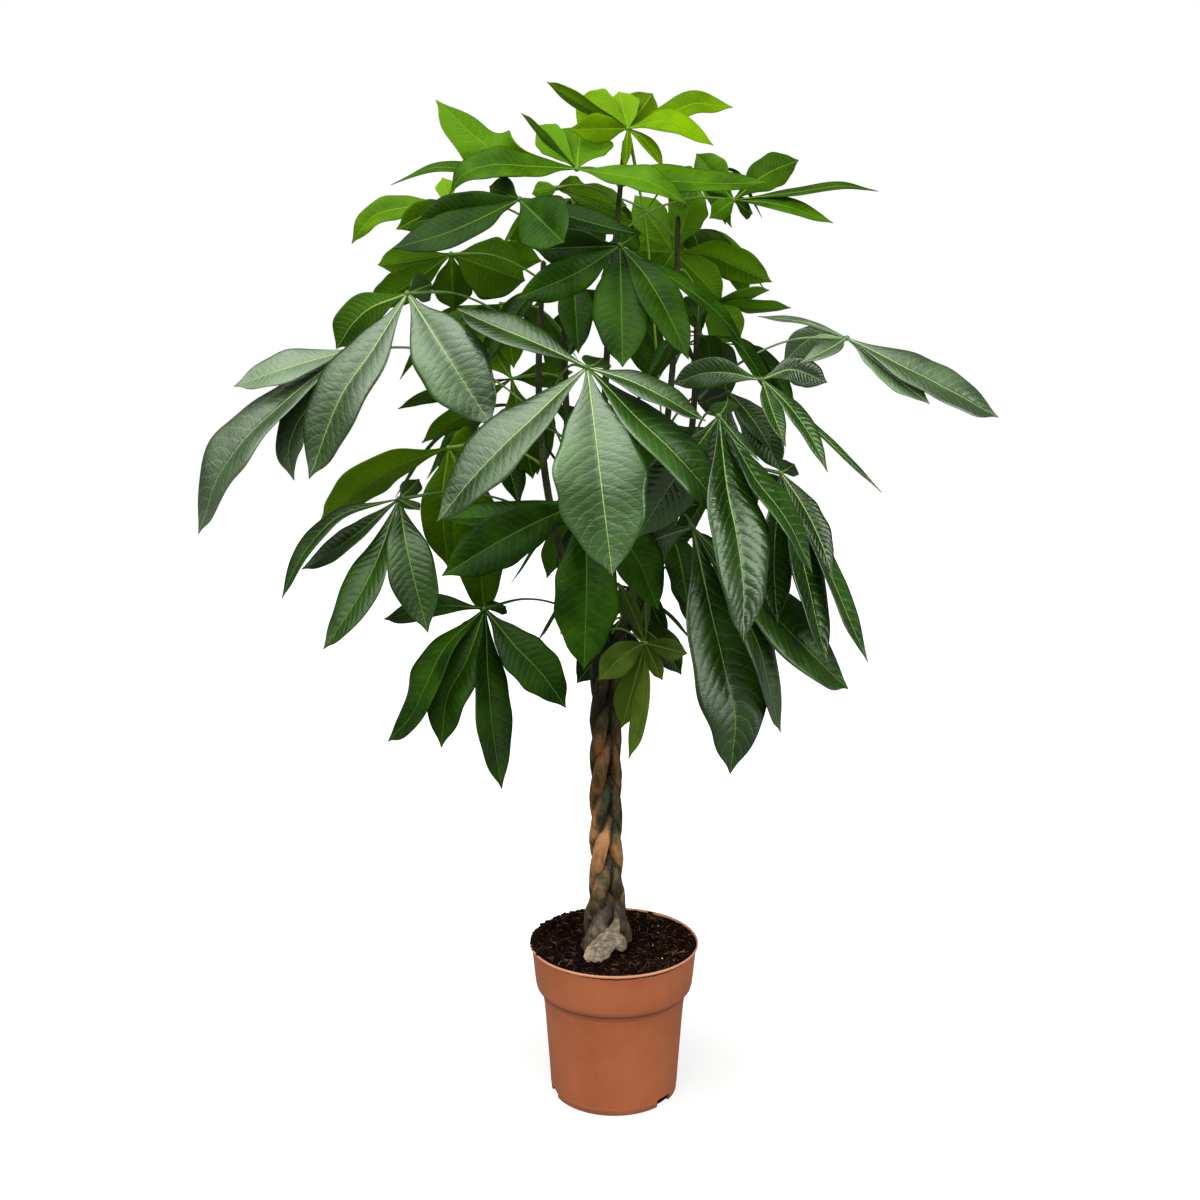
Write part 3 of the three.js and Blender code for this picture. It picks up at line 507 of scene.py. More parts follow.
def make_leaf_materials(look):
    palette = PALETTES[look]
    top = leaf_skin(look + "_top", palette, relief=0.55, vein_show=0.14)
    # The underside's colour is partly its own paler green and partly painted light shining through
    # the leaf.
    below = palette._replace(deep=palette.under, **UNDERSIDE)
    under = leaf_skin(look + "_underside", below, relief=0.5, vein_show=0.22)
    g, place, finish = new_material(look + "_stalk")
    blotches, grain = uneven_at(g, place, 30.0, 300.0)
    ripe = g.times(blotches, 0.35)
    stalk = finish(g.mix(ripe, palette.fresh, palette.rib),
                   g.spread(grain, 0.4, 0.55),
                   g.bump(grain, 0.2, 0.4 * MM))
    return top, under, stalk


LEAF_MATERIALS = {look: make_leaf_materials(look) for look in PALETTES}


# ---- Reading a leaf's form from its node ----

HUB_RADIUS = 5 * MM
MOST_STATIONS = 5
STALK_REACH = 4 * MM
# A blade's tip is at least this sharp, and its rings are this many times wider than thick.
SHARP = 0.58
FLAT = 1.3


def welded(node):
    """A node's points, with its doubles merged, and which points lie beside each one."""
    mesh = bmesh.new()
    mesh.from_mesh(frame["nodes"][node].data)
    bmesh.ops.remove_doubles(mesh, verts=mesh.verts, dist=WELD)
    mesh.verts.index_update()
    points = np.array([v.co[:] for v in mesh.verts])
    beside = [{e.other_vert(v).index for e in v.link_edges} for v in mesh.verts]
    mesh.free()
    return points, beside


def find_hub(points):
    """The knob's centre: the place one knob radius, along an axis, from the most points."""
    steps = HUB_RADIUS * np.vstack([np.eye(3), -np.eye(3)])
    places = (points[:, None, :] + steps).reshape(-1, 3)
    votes = [np.count_nonzero(np.abs(places - at).max(axis=1) < ON_KNOB) for at in places]
    return places[int(np.argmax(votes))]


def is_ring(ring, beside):
    return len(ring) == 4 and all(len(beside[i] & ring) == 2 for i in ring)


def rings_from(tip, beside):
    """The rings of four points that follow a pointed end."""
    seen = {tip}
    ring = set(beside[tip])
    rings = []
    while is_ring(ring, beside) and len(rings) < MOST_STATIONS:
        rings.append(ring)
        seen |= ring
        ring = set().union(*(beside[i] for i in ring)) - seen
    return rings


def opposite_pairs(ring, beside):
    """The two pairs of a ring that no edge joins, the wider one first."""
    first = min(ring)
    other = next(iter(ring - beside[first] - {first}))
    rest = sorted(ring - {first, other})
    return [(first, other), tuple(rest)]


def station(ring, points, beside, along):
    """Middle, half-width and upper side of a blade at one of its rings."""
    pairs = [points[list(pair)] for pair in opposite_pairs(ring, beside)]
    pairs.sort(key=lambda pair: -np.linalg.norm(pair[1] - pair[0]))
    (left, right), (top, bottom) = pairs
    middle = (left + right) / 2
    half = (right - left) / 2
    upper = middle - (top + bottom) / 2
    if np.dot(np.cross(along, upper), half) < 0:
        half = -half
    flat = np.linalg.norm(right - left) / max(np.linalg.norm(top - bottom), 1e-9)
    return {"middle": middle, "half": half, "upper": upper, "flat": flat}


def ends_of(points, beside, hub):
    """Every pointed end of a leaf, with the rings that lead away from it."""
    ends = []
    for tip in range(len(points)):
        rings = rings_from(tip, beside) if len(beside[tip]) == 4 else []
        if len(rings) < 2:
            continue
        along = unit(points[tip] - hub)
        spokes = unit(points[sorted(beside[tip])] - points[tip])
        ends.append({
            "tip": points[tip], "corners": {tip}.union(*rings), "rings": rings,
            "sharp": np.linalg.norm(spokes.mean(axis=0)),
            "stations": [station(ring, points, beside, along) for ring in rings],
        })
    return ends


def is_stalk(end):
    slim = all(np.linalg.norm(s["half"]) < STALK_REACH for s in end["stations"][:3])
    return slim and len(end["rings"]) >= 3 and end["stations"][0]["flat"] < FLAT


def steadiness(stations):
    """How little a blade's upper side turns from each station to the next."""
    uppers = unit(np.array([s["upper"] for s in stations]))
    return min(np.sum(uppers[1:] * uppers[:-1], axis=1), default=1.0)


def read_leaf(node):
    """The hub, the blades as stations out to a tip, and the stalk's line up to the hub."""
    points, beside = welded(node)
    hub = find_hub(points)
    ends = ends_of(points, beside, hub)
    stalks = [end for end in ends if is_stalk(end)]
    stalk, used = None, set()
    if stalks:
        foot = max(stalks, key=lambda end: np.linalg.norm(end["tip"] - hub))
        middles = [points[sorted(ring)].mean(axis=0) for ring in foot["rings"][:3]]
        stalk = np.array([foot["tip"], *middles, hub])
        used = set(foot["corners"])
    blades, found = [], []
    for end in ends:
        away = [np.linalg.norm(s["middle"] - hub) for s in end["stations"]]
        kept = [s for s, reach, before in zip(end["stations"], away, [math.inf, *away])
                if s["flat"] > FLAT and 2 * HUB_RADIUS < reach < before]
        if end["sharp"] > SHARP and len(kept) > 1:
            found.append((end["sharp"] + steadiness(kept) + 0.1 * len(kept), end, kept))
    for _, end, kept in sorted(found, key=lambda row: -row[0]):
        if not used & end["corners"]:
            used |= end["corners"]
            blades.append({"tip": end["tip"], "stations": kept[::-1]})
    return hub, blades, stalk


# ---- Leaflets ----

BLADE_THICKNESS = 0.7 * MM
# How deep a blade folds at its midrib, and how high it puffs up, as shares of its half-width.
FOLD = 0.16
PUFF = 0.0035
CELL = 4.2 * MM
FEWEST_ROWS, MOST_ROWS = 20, 60
COLUMNS, WIDE_COLUMNS, WIDE = 12, 16, 18 * MM
FOOT_HALF_WIDTH, TIP_HALF_WIDTH = 1.3 * MM, 0.25 * MM
TIP_WIDTH = 0.36
NEAR_TURN = 6.28
# How much wider than its solid a leaflet is, inside the crown and at its outside.
INNER_FULLER, OUTER_FULLER = 1.18, 1.03
INNER_LEAVES = ("leaf_back", "leaf_inner", "leaf_behind")


def own_blade(hub, tip, half_width, upper, sag):
    """Stations of a leaflet that has no solid, along an arch from the hub to a tip."""
    hub, tip, upper = np.array(hub), np.array(tip) * MM, unit(np.array(upper, float))
    stations = []
    for share, wide in ((0.10, 0.3), (0.38, 0.95), (0.62, 1.0), (0.84, 0.55)):
        middle = hub + (tip - hub) * share + upper * sag * MM * math.sin(math.pi * share)
        half = unit(np.cross(tip - hub, upper)) * half_width * wide * MM
        stations.append({"middle": middle, "half": half, "upper": upper})
    return {"tip": tip, "stations": stations}


def drawn_wave(draw, sizes, counts):
    """A wave along a leaflet, with its own start on each side of the midrib."""
    return {"size": draw.uniform(*sizes), "count": draw.uniform(*counts),
            "left": draw.uniform(0, NEAR_TURN), "right": draw.uniform(0, NEAR_TURN)}


def wave_at(wave, off, v):
    phase = np.where(off < 0, wave["left"], wave["right"])
    return wave["size"] * np.sin(NEAR_TURN * wave["count"] * v + phase)


def leaflet(name, hub, blade, draw, fuller):
    """One fine leaflet through the stations of its blade."""
    stations = blade["stations"]
    first, last = stations[0], stations[-1]
    drawn_out = last["middle"] * 0.45 + blade["tip"] * 0.55
    line = np.array([hub, *(s["middle"] for s in stations), drawn_out, blade["tip"]])
    knots = shares_along(line)
    length = np.linalg.norm(np.diff(line, axis=0), axis=1).sum()
    halves = [np.linalg.norm(s["half"]) * fuller for s in stations]
    widest = max(halves)
    halves = [FOOT_HALF_WIDTH, *halves, TIP_WIDTH * halves[-1], TIP_HALF_WIDTH]
    sides, uppers = (unit(np.array([s[way] for s in [first, *stations, last, last]]))
                     for way in ("half", "upper"))
    wave = drawn_wave(draw, (0.02, 0.07), (1.4, 2.6))
    edge = drawn_wave(draw, (0.02, 0.05), (2.5, 4.5))
    arch = draw.uniform(0.04, 0.10)
    from_rib, from_foot = [], []

    def place(u, v):
        centre = run_through(knots, line, v)
        side = unit(run_through(knots, sides, v))
        upper = unit(run_through(knots, uppers, v))
        off = 2 * u - 1
        out = np.sqrt(off * off + 0.002)
        body = smoothstep(0, 0.2, v) * smoothstep(1, 0.8, v)
        half = np.maximum(run_through(knots, halves, v), TIP_HALF_WIDTH)
        half = half * (1 + body * wave_at(edge, off, v))
        lift = FOLD * (out - 1) + arch * body * (1 - (2 * out - 1) ** 2)
        lift = lift + body * out ** 3 * wave_at(wave, off, v)
        turn = SIDE_VEINS * (v - out * (VEIN_LEAN + VEIN_CURL * out)) + VEIN_SHIFT * (off > 0)
        puff = PUFF * np.abs(np.sin(math.pi * turn)) * smoothstep(0, 0.25, out)
        lift = lift + puff * smoothstep(1, 0.7, out) * body
        from_rib.append(off * half / MM)
        from_foot.append(v * length / MM)
        return centre + side * (off * half)[:, None] + upper * (lift * half)[:, None]

    rows = int(min(max(length / CELL, FEWEST_ROWS), MOST_ROWS))
    columns = WIDE_COLUMNS if widest > WIDE else COLUMNS
    piece = laid_grid(name, columns, rows, place)
    set_tone(piece, draw.random())
    give(piece, "from_rib", from_rib[0])
    give(piece, "from_foot", from_foot[0])
    return piece


# Leaflets in the photograph that the solids leave out for want of room: tip, half-width,
# the way the upper side faces, and the height of the arch, in millimetres.
OWN_BLADES = {
    "leaf_right": [((262, -150, 905), 17, (0.5, -0.6, 0.6), 14)],
    "leaf_right_hanging": [((262, -215, 785), 18, (0.4, -0.8, 0.4), 14)],
    "leaf_inner_right": [((200, -80, 925), 15, (0.2, -0.7, 0.6), 10)],
}

STALK_SIDES, STALK_ROWS = 10, 26
STALK_RADII = np.array([3.3, 2.6, 1.7, 1.5, 2.6]) * MM
STALK_INTO_BARK = 2.5 * MM
KNOB_RADIUS = 3.6 * MM


def leaf_stalk(name, stalk, hub, draw):
    stalk[0] += unit(stalk[0] - stalk[1]) * STALK_INTO_BARK
    rod = tube(name + "_rod", stalk, STALK_RADII, STALK_SIDES, STALK_ROWS)
    leave_all()
    bpy.ops.mesh.primitive_ico_sphere_add(subdivisions=3, radius=KNOB_RADIUS, location=hub)
    knob = named(name + "_knob")
    bpy.ops.object.transform_apply(location=True, rotation=True, scale=True)
    smooth(knob)
    for piece in (rod, knob):
        set_tone(piece, draw.random())
    return [rod, knob]


def make_leaf(node, age, look):
    draw = random.Random(node)
    hub, blades, stalk = read_leaf(node)
    top, under, stalk_skin = LEAF_MATERIALS[look]
    blades += [own_blade(hub, *row) for row in OWN_BLADES.get(node, ())]
    fuller = INNER_FULLER if node.startswith(INNER_LEAVES) else OUTER_FULLER
    pieces = [leaflet(f"{node}_{i}", hub, blade, draw, fuller)
              for i, blade in enumerate(blades)]
    leaf = join(pieces, node + "_blades")
    dress(leaf, top, under, stalk_skin)
    keep_modifier(leaf, "SOLIDIFY", thickness=BLADE_THICKNESS, offset=0, material_offset=1)
    rods = leaf_stalk(node, stalk, hub, draw) if stalk is not None else []
    for rod in rods:
        dress(rod, stalk_skin)
    leaf = join([leaf, *rods], node + "_fine")
    smooth(leaf)
    hand_in(leaf, age, node)


AGE_OF = {row["node"]: row["material_slot"] for row in frame["record"]["subparts"]}
LOOK_OF = {node: look for look, nodes in LOOKS.items() for node in nodes}
for node in sorted(frame["nodes"]):
    if node.startswith("leaf_"):
        make_leaf(node, AGE_OF[node], LOOK_OF.get(node, AGE_OF[node]))


# ---- Braided stems ----

FOOT_HEIGHT = 178
BRAID_TOP = 622
BRAID_TURN = 290
BRAID_CENTRE_X = -11
HALF_WIDTH_FOOT, HALF_WIDTH_TOP = 15.0, 12.2
HALF_DEPTH = 12.6
LEFT_OVER_RIGHT = 0.7
FLARE_FOOT, FLARE_HEIGHT, FLARE_SPREAD, FLARE_RADIUS = 198, 120, 7, 6
FOOT_RADIUS, TOP_RADIUS, SHOOT_RADIUS = 10.7, 8.9, 6.2
# How far from another stem's skin the painted shade on the bark reaches, in millimetres.
SHADE_REACH = 7.0
SPLIT_HEIGHT = 70
STEM_SIDES = 28
RING_STEP = 3.4
OVER_END = 3
BARK_REACH = 14

# Where each stem's own shoot ends above the braid, its bow on the way, and its last radius.
STEMS = {
    "stem_centre": ((12, 8, 1316), (-14, 6), 3.2),
    "stem_right_back": ((86, 96, 1226), (26, 14), 3.4),
    "stem_right_front": ((104, -48, 1086), (34, -22), 3.6),
    "stem_left_back": ((-62, 104, 1248), (-24, 26), 3.4),
    "stem_left_front": ((-92, -42, 1162), (-34, -16), 3.6),
}


def flare(height):
    return 1 - smoothstep(0, 1, (height - FLARE_FOOT) / FLARE_HEIGHT)


def strand_centre(index, height):
    """Seen from above each stem runs round a figure of eight, a fifth of a turn apart.

    The stems that climb in front from the left lie over those from the right.
    """
    turn = 2 * math.pi * ((height - BRAID_TOP) / BRAID_TURN + index / len(STEMS))
    spread = FLARE_SPREAD * flare(height)
    share = share_of(FLARE_FOOT, BRAID_TOP, height)
    width = HALF_WIDTH_FOOT + (HALF_WIDTH_TOP - HALF_WIDTH_FOOT) * share + spread
    x = BRAID_CENTRE_X - 1.5 * share + width * np.sin(turn)
    y = (HALF_DEPTH + 0.7 * spread) * np.cos(turn) * (2 * np.sin(turn) - LEFT_OVER_RIGHT)
    return np.stack([x, y, height + 0 * turn], axis=-1)


def stem_centre(index, height, end, bow):
    strand = strand_centre(index, height)
    start = strand_centre(index, np.array(float(BRAID_TOP)))
    share = share_of(BRAID_TOP, end[2], height)
    arch = np.sin(math.pi * share)
    free = np.stack([start[0] + (end[0] - start[0]) * share + bow[0] * arch,
                     start[1] + (end[1] - start[1]) * share + bow[1] * arch, height], axis=-1)
    own = smoothstep(0, SPLIT_HEIGHT, height - BRAID_TOP)[:, None]
    return strand * (1 - own) + free * own


def stem_radius(height, end, last):
    share = share_of(FLARE_FOOT, BRAID_TOP, height)
    braided = FOOT_RADIUS + (TOP_RADIUS - FOOT_RADIUS) * share + FLARE_RADIUS * flare(height)
    split = smoothstep(0, SPLIT_HEIGHT, height - BRAID_TOP)
    slim = TOP_RADIUS + (SHOOT_RADIUS - TOP_RADIUS) * split
    slim = slim + (last - slim) * share_of(BRAID_TOP, end[2], height)
    return np.where(height < BRAID_TOP, braided, slim)


def make_stem(name, index):
    end, bow, last = STEMS[name]
    reach = end[2] + OVER_END - FOOT_HEIGHT
    gaps = []

    def gap_to_next(points, height):
        """How far each point of the skin lies from the nearest other stem's skin."""
        away = []
        for other, (its_end, its_bow, its_last) in enumerate(STEMS.values()):
            if other != index:
                centre = stem_centre(other, height, its_end, its_bow)
                far = np.linalg.norm(points - centre, axis=1)
                away.append(far - stem_radius(height, its_end, its_last))
        return np.min(away, axis=0)

    def place(u, v):
        height = FOOT_HEIGHT + v * reach
        centre = stem_centre(index, height, end, bow)
        ahead = unit(stem_centre(index, height + 2, end, bow)
                     - stem_centre(index, height - 2, end, bow))
        side = unit(np.cross(ahead, [0.0, 1.0, 0.0]))
        turn = round_from(u, side, np.cross(side, ahead))
        radius = stem_radius(height, end, last)
        bark = centre + turn * BARK_REACH
        knobs = rough_noise(bark, 0.045, 7.0 * index)
        grain = rough_noise(bark, 0.16, 3.0 * index)
        rough = 1 + 0.10 * knobs + (0.03 + 0.05 * flare(height)) * grain
        radius = radius * np.where(height < BRAID_TOP + 30, rough, 1 + 0.04 * grain)
        skin = centre + closed(radius, v) * turn
        # Painted shade: how near this point lies to another stem's skin.
        gaps.append(1 - smoothstep(-1, SHADE_REACH, gap_to_next(skin, height)))
        return skin * MM

    piece = laid_grid(name + "_fine", STEM_SIDES, int(reach / RING_STEP), place)
    give(piece, "crease_shade", gaps[0])
    close_seams(piece)
    set_tone(piece, index / len(STEMS))
    dress(piece, BARK)
    hand_in(piece, "bark", name)


# The bark over the grey foot is tan, then rust, olive, and green on the shoots: the heights
# over which each band takes the place of the one below, and its bare and mossy colours.
BARK_BANDS = (
    (0.278, 0.290, (0.250, 0.122, 0.048), (0.036, 0.035, 0.016)),
    (0.37, 0.45, (0.105, 0.046, 0.014), (0.018, 0.022, 0.007)),
    (0.50, 0.56, (0.024, 0.016, 0.004), (0.006, 0.009, 0.002)),
    (0.64, 0.74, (0.028, 0.034, 0.009), (0.016, 0.024, 0.005)),
)


def make_bark():
    """Bark in bands, streaked and flecked, with painted shade where one stem meets the next and
    painted light on the stems' open sides.
    """
    g, place, finish = new_material("bark_skin", Specular_IOR_Level=0.14)
    height = g.parts(place)[2]
    own = g.vector_maths("ADD", place, g.joined(0.0, 0.0, g.times(g.attribute("tone"), 3.0)))
    streak = g.noise(g.stretched(own, (1.0, 1.0, 0.3)), 75.0, detail=5.0, roughness=0.65)
    ripple = g.noise(g.stretched(own, (1.0, 1.0, 0.7)), 17.0, detail=5.0, roughness=0.6)
    patch = g.between(ripple, 0.43, 0.57)
    blotches, grain = uneven_at(g, place, 75.0, 600.0)
    level = g.maths("ADD", height, g.maths("MULTIPLY_ADD", ripple, 0.12, -0.06))

    colour = g.mix(blotches, (0.028, 0.021, 0.014), (0.092, 0.070, 0.047))
    for low, high, bare, mossy in BARK_BANDS:
        colour = g.mix(g.between(level, low, high), colour, g.mix(patch, bare, mossy))
    colour = g.scaled(g.spread(g.between(streak, 0.35, 0.65), 0.36, 1.15), colour)
    # Painted shade in the creases between stems, and painted light away from them.
    colour = g.scaled(g.spread(g.attribute("crease_shade"), 1.35, 0.03), colour)
    flecks = g.between(g.noise(own, 300.0, detail=1.0), 0.66, 0.72)
    colour = g.tinted(colour, flecks, 0.5, (0.15, 0.12, 0.08))
    lengthwise = g.noise(g.stretched(own, (1.0, 1.0, 0.2)), 230.0, detail=3.0)
    relief = g.bump(streak, 0.6, 2.4 * MM)
    relief = g.bump(lengthwise, 0.5, 0.9 * MM, relief)
    return finish(colour, g.spread(blotches, 0.45, 0.75),
                  g.bump(grain, 0.4, 0.5 * MM, relief))


# The pale cut roots: name, middle line, radii along it, sides, rows and flatness.
CUT_ROOTS = (
    ("root_spread", ((4, -26, 268), (0, -35, 254), (-8, -43, 242), (-19, -50, 230),
                     (-31, -55, 219), (-38, -57, 213)), (3, 8, 14, 16, 14.5, 10), 28, 36, 0.55),
    ("root_lobe", ((-2, -33, 252), (3, -41, 243), (9, -45, 235), (14, -45, 227)),
     (5, 10, 10, 5), 22, 22, 0.6),
)


def make_cut_roots():
    """Pale old roots that spread over the soil at the front left, where they were cut."""
    g, place, finish = new_material("cut_root", Specular_IOR_Level=0.3)
    x = g.parts(place)[0]
    blotches, grain = uneven_at(g, place, 160.0, 900.0)
    pits = g.noise(g.stretched(place, (0.5, 1.0, 1.3)), 210.0, detail=5.0, roughness=0.7)
    bare = g.between(g.maths("MULTIPLY_ADD", blotches, 0.010, x), -0.024, -0.044)
    old = g.mix(blotches, (0.105, 0.082, 0.054), (0.25, 0.200, 0.136))
    colour = g.mix(bare, old, (0.50, 0.40, 0.24))
    colour = g.scaled(g.spread(g.between(pits, 0.38, 0.62), 0.55, 1.15), colour)
    relief = g.bump(pits, 0.7, 1.2 * MM)
    root_skin = finish(colour, g.spread(grain, 0.6, 0.85),
                       g.bump(grain, 0.5, 0.6 * MM, relief))
    for name, line, radii, sides, rows, flat in CUT_ROOTS:
        piece = tube(name, np.array(line) * MM, np.array(radii) * MM, sides, rows,
                     facing=(0.1, -0.6, 0.8), flat=flat, rough=0.14)
        dress(piece, root_skin)
        hand_in(piece, "bark")


BARK = make_bark()
for index, name in enumerate(STEMS):
    make_stem(name, index)
make_cut_roots()


# ---- Pot ----

POT_SIDES = 144
BASE_RADIUS, POT_HEIGHT, WALL = 90.0, 222.0, 2.4
SHOULDER_RADIUS, SHOULDER_HEIGHT = 100.0, 141.0
BAND_RADIUS, BAND_HEIGHT, BAND_TOP = 111.0, 163.0, 117.5
NOTCH_ANGLES = (-161, -39, 81)
NOTCH_WIDTH, NOTCH_HEIGHT, NOTCH_DEPTH, NOTCH_INNER = 28, 12, 16, 82
CREASE_HEIGHT, LIP_HEIGHT = 154.6 * MM, 218 * MM


def body_radius(height):
    """Radius of the pot's outside at a height."""
    if height < SHOULDER_HEIGHT:
        return BASE_RADIUS + (SHOULDER_RADIUS - BASE_RADIUS) * height / SHOULDER_HEIGHT
    if height < BAND_HEIGHT:
        share = (height - SHOULDER_HEIGHT) / (BAND_HEIGHT - SHOULDER_HEIGHT)
        return SHOULDER_RADIUS + (BAND_RADIUS - SHOULDER_RADIUS) * math.sin(share * math.pi / 2)
    share = (height - BAND_HEIGHT) / (POT_HEIGHT - BAND_HEIGHT)
    return BAND_RADIUS + (BAND_TOP - BAND_RADIUS) * share


def turned(name, profile, sides):
    """A closed turned form: a ring drawn out and resized from one (radius, height) to the next."""
    leave_all()
    (radius, height), *rest = profile
    bpy.ops.mesh.primitive_circle_add(vertices=sides, radius=radius * MM, fill_type="TRIFAN",
                                      location=(0, 0, height * MM))
    bpy.ops.object.transform_apply(location=True, rotation=False, scale=False)
    piece = named(name)
    bpy.ops.object.mode_set(mode="EDIT")
    bpy.ops.mesh.select_all(action="SELECT")
    bpy.ops.mesh.region_to_loop()
    for next_radius, next_height in rest:
        rise = (0, 0, (next_height - height) * MM)
        bpy.ops.mesh.extrude_edges_move(TRANSFORM_OT_translate={"value": rise})
        ratio = next_radius / radius
        bpy.ops.transform.resize(value=(ratio, ratio, 1), center_override=(0, 0, 0))
        radius, height = next_radius, next_height
    bpy.ops.mesh.extrude_edges_move(TRANSFORM_OT_translate={"value": (0, 0, 0)})
    bpy.ops.mesh.merge(type="CENTER")
    bpy.ops.mesh.select_all(action="SELECT")
    bpy.ops.mesh.normals_make_consistent(inside=False)
    bpy.ops.object.mode_set(mode="OBJECT")
    return piece


def pot_profile():
    """Radius and height from the foot up the outside, over the lip and down the inside."""
    foot = [(83.0, 1.2), (84.5, 0.0), (88.6, 0.0), (89.9, 1.6), (90.6, 9.6), (90.2, 10.2),
            (91.0, 10.9)]
    side = [(91.2, 16), (92.7, 40), (95.2, 75), (97.6, 110), (99.3, 131), (101.2, 143),
            (102.6, 150), (103.0, 153.0), (101.6, 154.4), (101.6, 155.0), (103.4, 155.6)]
    band = [(107.6, 156.4), (110.0, 159.2), (111.2, 163.6), (112.0, 170), (113.6, 185),
            (115.4, 203), (116.9, 217.6)]
    lip = [(117.9, 218.5), (119.2, 219.0), (119.4, 219.8), (119.3, 221.2), (118.7, 222.0),
           (117.8, 222.0), (117.4, 221.0), (116.6, 216), (115.0, 206)]
    inside = [(body_radius(h) - WALL, h) for h in (190, 163, 155, 149, 141, 80, 16)]
    return foot + side + band + lip + inside + [(84.0, 12.0), (83.0, 3.0)]


def make_pot():
    pot = turned("pot_shell", pot_profile(), POT_SIDES)
    for angle in NOTCH_ANGLES:
        leave_all()
        bpy.ops.mesh.primitive_cube_add(size=1)
        cutter = named("notch")
        cutter.scale = (2 * NOTCH_DEPTH * MM, NOTCH_WIDTH * MM, 2 * NOTCH_HEIGHT * MM)
        turn = math.radians(angle)
        cutter.location = (*polar((NOTCH_INNER + NOTCH_DEPTH) * MM, turn), 0)
        cutter.rotation_euler = (0, 0, turn)
        bpy.ops.object.transform_apply(location=True, rotation=True, scale=True)
        keep_modifier(cutter, "BEVEL", width=1.5 * MM, segments=3)
        keep_modifier(pot, "BOOLEAN", object=cutter, operation="DIFFERENCE", solver="EXACT")
        bpy.data.objects.remove(cutter)
    work_on(pot)
    bpy.ops.object.shade_smooth_by_angle(angle=math.radians(38))
    dress(pot, make_plastic())
    hand_in(pot, "terracotta_plastic", "pot")


def make_plastic():
    g, place, finish = new_material("moulded_plastic", Specular_IOR_Level=0.35)
    blotches, grain = uneven_at(g, place, 11.0, 900.0)
    z = g.parts(place)[2]
    colour = g.mix(blotches, (0.272, 0.074, 0.025), (0.318, 0.092, 0.034))
    streaks = g.noise(g.stretched(place, (1.0, 1.0, 0.15)), 90.0, detail=2.0)
    colour = g.scaled(g.spread(streaks, 0.92, 1.08), colour)
    # Painted shade: a dark line in the groove under the band.
    off_crease = g.maths("ABSOLUTE", g.maths("SUBTRACT", z, CREASE_HEIGHT))
    crease_shade = g.between(off_crease, 0.0022, 0.0008)
    colour = g.tinted(colour, crease_shade, 0.72, (0.070, 0.020, 0.008))
    # Painted highlight: the top of the lip is painted lighter, where it catches the light.
    lip = g.between(z, LIP_HEIGHT, LIP_HEIGHT + 1.2 * MM)
    colour = g.tinted(colour, lip, 0.6, (0.58, 0.30, 0.17))
    # Darker towards the bottom, in streaks.
    low_darkening = g.times(g.between(z, 0.05, 0.0), g.between(streaks, 0.3, 0.7))
    colour = g.tinted(colour, low_darkening, 0.3, (0.22, 0.065, 0.028))
    scuffs = g.between(g.noise(g.stretched(place, (1.0, 1.0, 2.2)), 120.0, detail=5.0), 0.70, 0.76)
    colour = g.tinted(colour, scuffs, 0.35, (0.20, 0.06, 0.03))
    rough = g.spread(blotches, 0.40, 0.50)
    return finish(colour, rough, g.bump(grain, 0.06, 0.3 * MM))


make_pot()


# ---- Soil ----

SOIL_SIDES = 200
SOIL_ROWS = 80
SOIL_LEVEL = 217.4
SOIL_EDGE = 117.2
FOOT_WALL = 86.4
RIM_FOOT = 115
CLEARANCE = 0.4


def soil_height(x, y):
    """Height of the soil's top, heaped towards the trunk and over the rim on the left."""
    radius = math.hypot(x, y)
    heap = 3.0 * (1 - smoothstep(0, 95, radius))
    wall = smoothstep(70, 116, radius)
    left_back = smoothstep(-0.5, 0.9, (0.35 * y - 0.94 * x) / max(radius, 1))
    front = smoothstep(0.2, 1.0, -y / max(radius, 1))
    point = Vector((x, y, 0))
    lumps = 2.6 * noise.noise(point * 0.045) + 2.2 * noise.noise(point * 0.12)
    crumbs = 1.5 * noise.noise(point * 0.33) + 0.8 * noise.noise(point * 0.8)
    calm = 1 - 0.6 * smoothstep(105, 117, radius)
    edge = wall * (1.4 + 2.6 * left_back - 1.8 * front)
    return SOIL_LEVEL + heap + edge + (lumps + crumbs) * calm


def make_soil_material(name, dark, light, scale):
    g, place, finish = new_material(name, Specular_IOR_Level=0.03)
    blotches, grain = uneven_at(g, place, scale, 900.0)
    cells = g.add("ShaderNodeTexVoronoi", {"Vector": place, "Scale": 520.0}).outputs["Distance"]
    colour = g.mix(blotches, dark, light)
    colour = g.scaled(g.spread(g.attribute("tone"), 0.55, 1.5), colour)
    relief = g.bump(cells, 0.8, 1.4 * MM)
    return finish(colour, g.spread(grain, 0.8, 0.98),
                  g.bump(grain, 0.5, 0.8 * MM, relief))


def make_soil():
    walls = [(0, WALL), (FOOT_WALL, WALL), (FOOT_WALL, 13),
             (body_radius(16) - WALL - CLEARANCE, 17)]
    walls += [(body_radius(h) - WALL - CLEARANCE, h) for h in (SHOULDER_HEIGHT, BAND_HEIGHT, 206)]
    rows = len(walls) + SOIL_ROWS

    def place(u, v):
        corners = []
        for share, row in zip(u, np.rint(v * rows).astype(int)):
            angle = 2 * math.pi * share
            if row < len(walls):
                radius, height = walls[row]
            else:
                radius = SOIL_EDGE * (rows - row) / SOIL_ROWS
                height = soil_height(*polar(radius, angle))
            corners.append((*polar(radius, angle), height))
        return np.array(corners) * MM

    soil = laid_grid("soil_bed", SOIL_SIDES, rows, place)
    close_seams(soil)
    set_tone(soil, 0.4)
    dress(soil, make_soil_material("soil_dark", (0.0008, 0.0004, 0.0003),
                                   (0.011, 0.0045, 0.003), 150.0))
    hand_in(soil, "potting_soil", "soil")


